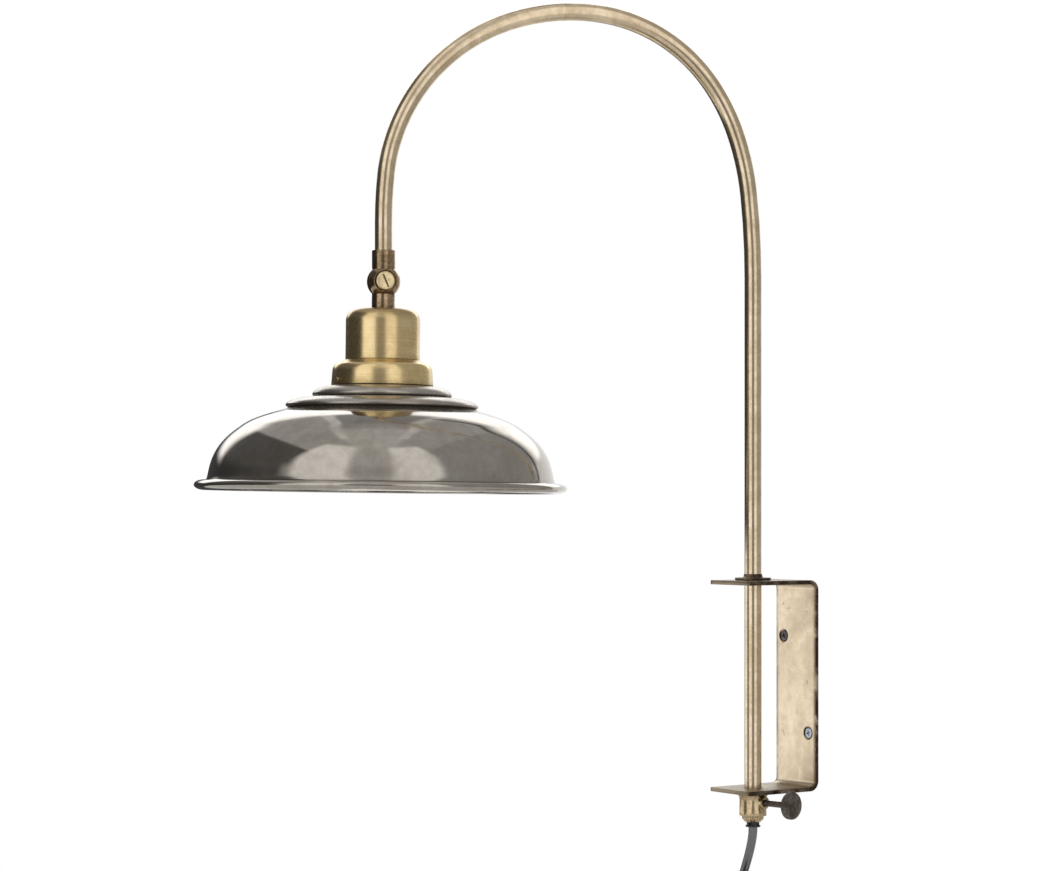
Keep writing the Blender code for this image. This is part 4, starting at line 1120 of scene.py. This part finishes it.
def tubePath():
    # centre and lean of each ring, out from the wall and up
    shape = tubeShape
    legSteps = 24
    legs = [
        shape["bottom"] + (shape["bendStart"] - shape["bottom"]) * step / legSteps
        for step in range(legSteps)
    ]
    path = [(0.0, height, 0.0) for height in legs]
    out, height, lean = 0.0, shape["bendStart"], 0.0
    path.append((out, height, lean))
    for radius, turn in shape["arcs"]:
        steps = max(2, round(turn / shape["degreesPerRing"]))
        for step in range(1, steps + 1):
            start, angle = math.radians(lean), math.radians(lean + turn * step / steps)
            path.append((
                out + radius * (math.cos(start) - math.cos(angle)),
                height + radius * (math.sin(angle) - math.sin(start)),
                math.degrees(angle),
            ))
        out, height, lean = path[-1]
    for step in range(1, 5):
        path.append((out, height - shape["lastLeg"] * step / 4, lean))
    return path


def buildTube():
    shape = tubeShape
    inner = shape["radius"] - shape["wall"]
    rings, runs, length, last = [], [], 0.0, None
    for out, height, lean in tubePath():
        centre = Vector((0, -out, height))
        length += (centre - last).length if last else 0.0
        last = centre
        place = Matrix.Translation(centre) @ Matrix.Rotation(math.radians(lean), 4, "X")
        for radius in (shape["radius"], inner):
            turns = [math.tau * side / shape["sides"] for side in range(shape["sides"])]
            rings.append([place @ Vector((radius * math.cos(t), radius * math.sin(t),
                0)) for t in turns])
            runs += [(math.cos(t) * 7, math.sin(t) * 7, length * 1000) for t in turns]
    mesh = bmesh.new()
    made = [[mesh.verts.new(point) for point in ring] for ring in rings]
    loops = list(zip(made, made[2:])) + [(made[0], made[1]), (made[-2], made[-1])]
    for near, far in loops:
        for side in range(shape["sides"]):
            after = (side + 1) % shape["sides"]
            mesh.faces.new((near[side], near[after], far[after], far[side]))
    tube = draft("hookedTube", mesh, armPlace)
    grain = tube.data.attributes.new("run", "FLOAT_VECTOR", "POINT")
    for index, run in enumerate(runs):
        grain.data[index].vector = run
    dress(tube, finishes["tubeBrass"], "arm", ("arm_tube",))


washerShape = {"bottom": 0.0878, "radius": 0.01485, "thickness": 0.002, "bore": 0.0073,
    "bead": 0.00925, "beadHeight": 0.003}


def buildStopWasher():
    shape = washerShape
    top = shape["bottom"] + shape["thickness"]
    outline = [(shape["bore"], shape["bottom"]), (shape["radius"], shape["bottom"]),
        (shape["radius"], top)]
    outline += [(shape["bead"] + 0.0006, top)]
    for step in range(7):
        share = step / 6
        radius = (
            shape["bead"]
            - (shape["bead"] - shape["bore"] - 0.0002) * math.sin(share * math.pi / 2)
        )
        outline.append((radius, top + shape["beadHeight"] * (1 - math.cos(share * math.pi / 2))))
    outline += [(shape["bore"], top + shape["beadHeight"])]
    washer = turned("stopWasher", roundCorners(outline, 0.0004), armPlace, 96)
    for vertex in washer.data.vertices:
        radius = math.hypot(vertex.co.x, vertex.co.y)
        if vertex.co.z > top + 0.0001 and radius > shape["bore"] + 0.0001:
            lump = noise.noise(vertex.co / 0.0021)
            vertex.co.z -= 0.0006 * max(0.0, 0.5 + lump)
    dress(washer, finishes["bracketBrass"], "arm", ("stop_washer",), 40)


buildTube()
buildStopWasher()
print("tube and stop washer built")


# tilting knuckle

knuckleShape = {
    "ball": 0.0135, "collar": 0.00935, "collarTop": 0.0252, "bore": 0.0073, "boreBottom": 0.0148,
    "slot": 0.0068,
    "slotTop": 0.0108, "slotRound": 0.0129, "pivotHole": 0.0028, "seat": 0.0099,
    "seatRadius": 0.0081,
    "nutSeatRadius": 0.0052, "tongue": 0.005, "tongueRadius": 0.0123, "neckGap": 0.0003,
    "neckBottom": -0.0219,
    "neck": 0.0093, "nipple": 0.005, "nippleEnd": -0.034, "nippleBore": 0.0032, "screw": 0.0025,
    "head": 0.0075,
    "headHeight": 0.0022, "driver": 0.0015, "driverLength": 0.0112, "driverDepth": 0.0015,
    "driverLean": 22.6,
    "groove": 0.0087, "grooveDepth": 0.0014, "nutHeight": 0.0032,
}


def buildUpperKnuckle():
    shape = knuckleShape
    meet = math.degrees(math.asin(shape["collar"] / shape["ball"]))
    outline = arcPoints((0, 0), shape["ball"], -90, 90 - meet, 40)
    outline[0] = (0, -shape["ball"])
    outline += roundCorners([(outline[-1]), (shape["collar"], shape["collarTop"]),
        (shape["bore"], shape["collarTop"]),
                             (shape["bore"], shape["boreBottom"])], 0.0006, openEnds=True)[1:]
    outline += [(0, shape["boreBottom"])]
    ball = turned("knuckleUpper", outline, pivotPlace, 96)
    wide = 2 * shape["ball"]
    shoulder = math.degrees(math.asin(shape["slotTop"] / shape["slotRound"]))
    slot = [(-wide, -wide), (wide, -wide), (wide, shape["slotTop"])]
    slot += arcPoints((0, 0), shape["slotRound"], shoulder, 180 - shoulder,
        20) + [(-wide, shape["slotTop"])]
    across = pivotPlace @ sideways

    def rod(radius, low, high):
        return turned("rod", [(0, low), (radius, low), (radius, high), (0, high)], across, 64)

    # the groove round the screw head, which the painted corner shade darkens
    low, inner = shape["seat"] - shape["grooveDepth"], shape["head"] - 0.0012
    groove = [(inner, low), (shape["groove"], low), (shape["groove"], wide), (inner, wide)]
    carve(ball, draft("slot", extrudeOutline(slot, shape["slot"]), pivotPlace),
        rod(shape["pivotHole"], -wide, wide),
          rod(shape["seatRadius"], shape["seat"], wide),
          rod(shape["nutSeatRadius"], -wide, -shape["seat"]),
          turned("groove", groove, across, 72))
    dress(ball, finishes["knuckleBrass"], "arm", ("knuckle_upper",), 30)


def buildPivotScrew():
    shape = knuckleShape
    head = shape["seat"] + 0.0003
    crown = head + shape["headHeight"]
    end = -head - shape["nutHeight"] - 0.0003
    outline = [(0, end), (shape["screw"], end), (shape["screw"], head), (shape["head"], head)]
    outline += [(shape["head"], crown - 0.0008), (shape["head"] - 0.0009, crown - 0.0001),
        (shape["head"] * 0.5, crown), (0, crown)]
    across = pivotPlace @ sideways
    screw = turned("pivotScrew", outline, across, 72, 0.0002)
    blade = draft("blade", boxMesh((shape["driverDepth"] * 2, shape["driver"],
        shape["driverLength"]), (crown, 0, 0)),
                  pivotPlace @ Matrix.Rotation(math.radians(shape["driverLean"]), 4, "X"))
    carve(screw, blade)
    dress(screw, finishes["screwBrass"], "arm", ("pivot_screw",), 30)


def buildLowerKnuckle():
    shape = knuckleShape
    # the top of the neck is hollowed to follow the ball
    seat = shape["ball"] + shape["neckGap"]
    outline = arcPoints((0, 0), seat, -90, math.degrees(math.asin(shape["neck"] / seat)) - 90, 20)
    outline[0] = (0, -seat)
    outline += [(shape["neck"], shape["neckBottom"]), (shape["nipple"], shape["neckBottom"])]
    outline += [(shape["nipple"], shape["nippleEnd"]), (shape["nippleBore"], shape["nippleEnd"])]
    outline += [(shape["nippleBore"], -seat - 0.0021), (0, -seat - 0.0021)]
    neck = turned("knuckleLower", outline, headPlace, 80)
    half = shape["neck"] - 0.0006
    meet = math.degrees(math.acos(half / shape["tongueRadius"]))
    root = -seat - 0.0006
    outline = [(half, root)] + arcPoints((0, 0), shape["tongueRadius"], -meet, 180 + meet,
        48) + [(-half, root)]
    carve(neck, draft("tongue", extrudeOutline(outline, shape["tongue"]), headPlace),
        operation="UNION")
    hole = [(0, -0.02), (shape["pivotHole"], -0.02), (shape["pivotHole"], 0.02), (0, 0.02)]
    carve(neck, turned("hole", hole, headPlace @ sideways, 48))
    dress(neck, finishes["knuckleBrass"], "head", ("knuckle_lower",), 30)


buildUpperKnuckle()
buildPivotScrew()
buildLowerKnuckle()
print("knuckle built")


# holder cup and gallery

cupShape = {"radius": 0.0299, "top": -0.0222, "bottom": -0.06305, "shoulder": 0.0096, "wall": 0.001,
    "bore": 0.0053}


def buildCup():
    shape = cupShape
    centre = (shape["radius"] - shape["shoulder"], shape["top"] - shape["shoulder"])
    outer = [(shape["bore"], shape["top"])] + arcPoints(centre, shape["shoulder"], 90, 0, 18)
    outer += [(shape["radius"], shape["bottom"] + 0.004), (shape["radius"], shape["bottom"])]
    outline = roundCorners(sheetOutline(outer, shape["wall"]), 0.0003)
    cup = turned("holderCup", outline, headPlace, 128)
    dress(cup, finishes["cupBrass"], "head", ("holder_cup",), 40)


galleryShape = {"inner": 0.0199, "top": -0.0631, "neck": 0.0299, "slopeEnd": 0.0351,
    "radius": 0.0403, "flare": 0.0008,
                "bottom": -0.0836, "drop": 0.0100, "round": 0.0072, "wall": 0.001,
                "screwHeight": -0.0800,
                "screwAngles": (203, 293, 113), "screwHead": 0.0016, "screwLength": 0.0010,
                "screwShank": 0.0013,
                "screwTip": 0.0383}


def buildGallery():
    shape = galleryShape
    roundOff = shape["radius"] - shape["slopeEnd"]
    middle = (shape["slopeEnd"], shape["top"] - shape["drop"])
    outer = [(shape["inner"], shape["top"]), (shape["neck"], shape["top"])]
    outer += [(middle[0] + roundOff * math.cos(turn), middle[1] + shape["round"] * math.sin(turn))
              for turn in (math.radians(90 - 90 * index / 16) for index in range(17))]
    wall = shape["radius"] + shape["flare"]
    outer += [(wall, shape["bottom"])]
    outline = roundCorners(sheetOutline(outer, shape["wall"]), 0.0003)
    gallery = turned("galleryRing", outline, headPlace, 128)
    cutters = []
    for number, angle in enumerate(shape["screwAngles"], 1):
        aim = headPlace @ Matrix.Translation((0, 0,
            shape["screwHeight"])) @ Matrix.Rotation(math.radians(angle), 4, "Z") @ sideways
        hole = [(0, shape["screwTip"]), (0.0016, shape["screwTip"]), (0.0016, wall + 0.002),
            (0, wall + 0.002)]
        cutters.append(turned("hole", hole, aim, 24))
        under = wall + 0.0003
        crown = under + shape["screwLength"]
        outline = [(0, shape["screwTip"]), (shape["screwShank"], shape["screwTip"]),
            (shape["screwShank"], under)]
        outline += [(shape["screwHead"], under), (shape["screwHead"], crown - 0.0003),
            (shape["screwHead"] * 0.6, crown), (0, crown)]
        screw = turned(f"galleryScrew{number}", outline, aim, 32, 0.0002)
        carve(screw, draft("blade", boxMesh((0.0005, 0.006, 0.0009), (0, 0, crown)), aim))
        dress(screw, finishes["screwBrass"], "head", (f"gallery_screw_{number}",),
            30)
    carve(gallery, *cutters)
    dress(gallery, finishes["cupBrass"], "head", ("gallery_ring",), 40)


buildCup()
buildGallery()
print("cup and gallery built")


# shade

shadeShape = {
    "neck": (0.0380, -0.0735),
    "tiers": (
        (0.0380, -0.0835), (0.0412, -0.0841), (0.0460, -0.0848), (0.0505, -0.0861),
        (0.0540, -0.0881), (0.0557, -0.0901),
        (0.0560, -0.0914), (0.0553, -0.0927), (0.0538, -0.0934), (0.0600, -0.0937),
        (0.0665, -0.0946), (0.0720, -0.0960),
        (0.0757, -0.0978), (0.0774, -0.0996), (0.0769, -0.1011), (0.0748, -0.1020),
    ),
    "dome": (
        (0.0800, -0.1042), (0.0905, -0.1073), (0.1010, -0.1110), (0.1090, -0.1150),
        (0.1154, -0.1195),
        (0.1218, -0.1246), (0.1271, -0.1300), (0.1315, -0.1360), (0.1348, -0.1423),
        (0.1372, -0.1495),
        (0.1388, -0.1570), (0.1393, -0.1592),
    ),
    "lip": 0.1496, "rollWidth": 0.0076, "rollHeight": 0.0041, "rollCentre": -0.1650, "wall": 0.0011,
    "segments": 216,
}


def buildShade():
    shape = shadeShape
    outer = [shape["neck"]] + list(shape["tiers"]) + list(shape["dome"])
    smooth = smoothLine(outer, 4)
    under = [point for index,
        point in enumerate(outer) if all(point[0] <= later[0] for later in outer[index + 1:])]
    under = smoothLine(under, 4)
    # the rim is rolled to a flattened bead
    turns = [math.radians(105 - 225 * step / 40) for step in range(41)]
    middle = shape["lip"] - shape["rollWidth"]
    rim = [(middle + shape["rollWidth"] * math.cos(t),
        shape["rollCentre"] + shape["rollHeight"] * math.sin(t)) for t in turns]
    outline = smooth + rim + besideLine(under, shape["wall"])[::-1]
    shade = turned("shade", outline, headPlace, shape["segments"])
    dress(shade, finishes["pewter"], "head", ("shade",), 45)


buildShade()
print("shade built")


# bulb holder

holderShape = {
    "top": -0.030, "socket": 0.006, "bore": 0.0053, "cap": 0.0155, "capDrop": 0.003,
    "bodyTop": -0.040, "body": 0.0225,
    "shoulder": -0.0628, "skirt": 0.0196, "bottom": -0.0920, "cavity": 0.0145, "cavityTop": -0.0580,
    "shellWall": 0.0006,
}


def buildHolder():
    shape = holderShape
    outline = [(0, shape["top"] - shape["socket"]), (shape["bore"], shape["top"] - shape["socket"])]
    outline += [(shape["bore"], shape["top"]), (shape["cap"], shape["top"] - shape["capDrop"])]
    outline += [(shape["body"], shape["bodyTop"]), (shape["body"], shape["shoulder"]),
        (shape["skirt"], shape["shoulder"])]
    # coarse thread for the clamp ring on the skirt
    height = shape["shoulder"] - 0.009
    while height > shape["bottom"] + 0.004:
        outline += [(shape["skirt"], height), (shape["skirt"] - 0.0007, height - 0.001)]
        height -= 0.002
    outline += [(shape["skirt"], shape["bottom"] + 0.002), (shape["skirt"], shape["bottom"])]
    outline += [(shape["cavity"], shape["bottom"]), (shape["cavity"], shape["cavityTop"]),
        (0, shape["cavityTop"])]
    body = turned("lampholder", roundCorners(outline, 0.0004), headPlace, 96)
    dress(body, finishes["phenolic"], "head", ("lampholder_body",))
    outer = shape["cavity"] - 0.0003
    low, high = shape["bottom"] + 0.003, shape["cavityTop"] - 0.0003
    steps = 90
    wave = [(outer - 0.0004 + 0.0004 * math.cos(step / steps * math.tau * 7),
        low + (high - low) * step / steps)
            for step in range(steps + 1)]
    inside = [(radius - shape["shellWall"], height) for radius, height in wave][::-1]
    shell = turned("screwShell", wave + inside, headPlace, 96)
    dress(shell, finishes["contactBrass"], "head", ("lampholder_shell",), 60)


buildHolder()
keptNodes = {
    "lampholder_contact": "contactBrass", "shade_clamp_ring": "phenolic",
    "holder_leads": "blackRubber",
    "inner_flex": "blackRubber", "lock_nut": "zincSteel", "pivot_nut": "contactBrass",
    "friction_washer_near": "fibre", "friction_washer_far": "fibre",
}
for name, finish in keptNodes.items():
    node = frame["nodes"][name]
    node.data.materials.clear()
    node.data.materials.append(finishes[finish])
    bevelEdges(node, 0.0002, 2)
print("bulb holder built")


# studio

studioLook = {
    "backdrop": 2.0, "behindRight": 1.0, "seam": 0.12, "leftWall": 0.14, "leftLow": 0.06,
    "rightWall": 0.44,
    "frontLow": 0.24, "frontHigh": 0.66, "floorGlow": 0.42,
    "ceiling": 0.55, "rail": 0.85, "betweenRails": 0.38, "overhead": 0.70, "leftBox": 1.2,
    "rightBox": 1.15,
}


def buildStudio():
    # a white surround for the camera, and for reflections
    # a studio of walls, soft boxes and ceiling rails
    world = bpy.data.worlds.new("studio")
    bpy.context.scene.world = world
    world.use_nodes = True
    tree = world.node_tree
    tree.nodes.clear()
    look = studioLook
    heading = addNode(tree, "TexCoord").outputs["Generated"]
    bearing = math.radians(cameraLook["bearing"])
    toRight = vectorSums(tree, "DOT_PRODUCT", heading, (math.cos(bearing), math.sin(bearing), 0))
    toFront = vectorSums(tree, "DOT_PRODUCT", heading, (math.sin(bearing), -math.cos(bearing), 0))
    height = addNode(tree, "SeparateXYZ", None, {0: heading}).outputs[2]
    around = sums(tree, "MULTIPLY", sums(tree, "ARCTAN2", toRight, toFront), 180 / math.pi)
    climb = sums(tree, "MULTIPLY", sums(tree, "ARCSINE", height), 180 / math.pi)
    # where a heading meets a flat ceiling one unit up
    lift = sums(tree, "MAXIMUM", height, 0.02)
    across = sums(tree, "DIVIDE", toRight, lift)
    along = sums(tree, "DIVIDE", toFront, lift)

    def between(value, low, high, soft):
        rising = remap(tree, value, low - soft, low + soft)
        falling = remap(tree, value, high - soft, high + soft, 1.0, 0.0)
        return sums(tree, "MULTIPLY", rising, falling)

    def lay(shown, mask, level):
        return blendColours(tree, mask, shown, (level, level, level))

    def patch(shown, first, second, level):
        # a soft-edged patch of light or dark; first and second are (value, low, high, softness)
        return lay(shown, sums(tree, "MULTIPLY", between(*first), between(*second)), level)

    front = blendColours(tree, remap(tree, climb, 5, 32), (look["frontLow"],) * 3,
        (look["frontHigh"],) * 3)
    shown = lay(front, remap(tree, around, 44, 52), look["rightWall"])
    shown = lay(shown, remap(tree, around, -66, -72), look["leftWall"])
    shown = patch(shown, (around, -190, -68, 3), (climb, -90, 16, 6), look["leftLow"])
    shown = lay(shown, remap(tree, climb, -24, -44), look["floorGlow"])
    above = (climb, 24, 100, 6)
    shown = patch(shown, (across, 0.55, 90, 0.03), above, look["rightWall"])
    shown = patch(shown, (across, -90, -0.77, 0.03), above, look["leftWall"])
    shown = patch(shown, (across, -0.77, 0.55, 0.03), (along, -9, 0.4, 0.15), look["ceiling"])
    shown = patch(shown, (across, -0.25, 0.17, 0.02), (along, -9, -0.3, 0.1), look["betweenRails"])
    shown = patch(shown, (across, -0.25, 0.17, 0.02), (along, -0.3, 0.5, 0.1), look["overhead"])
    for rail in (-0.25, 0.17):
        shown = patch(shown, (across, rail - 0.03, rail + 0.03, 0.01), (along, -1.9, 0.1, 0.05),
            look["rail"])
    shown = patch(shown, (around, -62, -20, 4), (climb, -30, 64, 3), look["leftBox"])
    shown = patch(shown, (around, 12, 46, 4), (climb, -30, 64, 3), look["rightBox"])
    shown = patch(shown, (toFront, -9, -0.74, 0.07), (climb, 13, 39, 4), look["backdrop"])
    shown = patch(shown, (around, 130, 190, 2), (climb, -90, 14, 3), look["behindRight"])
    shown = patch(shown, (toFront, -0.69, -0.65, 0.01), (toRight, 0.12, 9, 0.05), look["seam"])
    studio = addNode(tree, "Background", None, {"Color": shown, "Strength": 1.0})
    white = addNode(tree, "Background", None, {"Color": (1, 1, 1), "Strength": 1.0})
    seen = addNode(tree, "LightPath").outputs["Is Camera Ray"]
    mixed = addNode(tree, "MixShader", None, {0: seen, 1: studio.outputs[0], 2: white.outputs[0]})
    output = addNode(tree, "OutputWorld")
    tree.links.new(mixed.outputs[0], output.inputs["Surface"])


lightLook = {
    "key": {"place": (-1.2, -2.4, 1.9), "size": 1.4, "power": 16},
    "fill": {"place": (2.4, -0.9, 1.1), "size": 1.2, "power": 9},
}


def buildLights():
    target = Vector((-0.08, -0.2, 0.2))
    for name, look in lightLook.items():
        data = bpy.data.lights.new(name, "AREA")
        data.size = look["size"]
        data.energy = look["power"]
        lamp = bpy.data.objects.new(name, data)
        lamp.location = look["place"]
        lamp.rotation_euler = (target - lamp.location).to_track_quat("-Z", "Y").to_euler()
        lamp.visible_glossy = False
        bpy.context.collection.objects.link(lamp)


cardLook = {"away": 0.35, "width": 0.34, "bottom": -0.155, "top": 0.11, "level": 1.25}


def buildBounceCard():
    # a bright card that only the bracket's face mirrors
    look = cardLook
    bearing = math.radians(cameraLook["bearing"])
    heading = Vector((-math.sin(bearing), -math.cos(bearing), 0))
    beside = up.cross(heading)
    middle = heading * look["away"]
    mesh = bmesh.new()
    corners = []
    for side, height in ((-1, look["bottom"]), (1, look["bottom"]), (1, look["top"]),
            (-1, look["top"])):
        place = middle + beside * side * look["width"] / 2
        corners.append(mesh.verts.new((place.x, place.y, height)))
    mesh.faces.new(corners)
    card = draft("bounceCard", mesh)
    made = bpy.data.materials.new("bounceCard")
    made.use_nodes = True
    tree = made.node_tree
    tree.nodes.clear()
    glow = addNode(tree, "Emission", None, {"Color": (1.0, 0.99, 0.97), "Strength": look["level"]})
    tree.links.new(glow.outputs[0], addNode(tree, "OutputMaterial").inputs["Surface"])
    card.data.materials.append(made)
    for ray in ("camera", "diffuse", "shadow", "transmission"):
        setattr(card, "visible_" + ray, False)


floorLook = {"height": -0.42, "radius": 1.8, "light": (0.86, 0.86, 0.85),
    "dark": (0.82, 0.82, 0.81)}


def buildFloor():
    outline = [(0, 0), (floorLook["radius"], 0), (floorLook["radius"], -0.01), (0, -0.01)]
    lowest, highest = frameBox
    middle = (lowest + highest) / 2
    place = Matrix.Translation((middle.x, middle.y, floorLook["height"]))
    floor = turned("floor", outline, place, 96)
    paper = mouldedPlastic("paper", {
        "light": floorLook["light"], "dark": floorLook["dark"], "roughLow": 0.7, "roughHigh": 0.85,
        "cloudScale": 3.0,
        "dust": 0.0, "bump": 0.05, "pebble": 300.0,
    })
    floor.data.materials.append(paper)
    floor.data.shade_smooth()
    floor.data.set_sharp_from_angle(angle=math.radians(40))


buildStudio()
buildLights()
buildBounceCard()
buildFloor()
print("studio built")
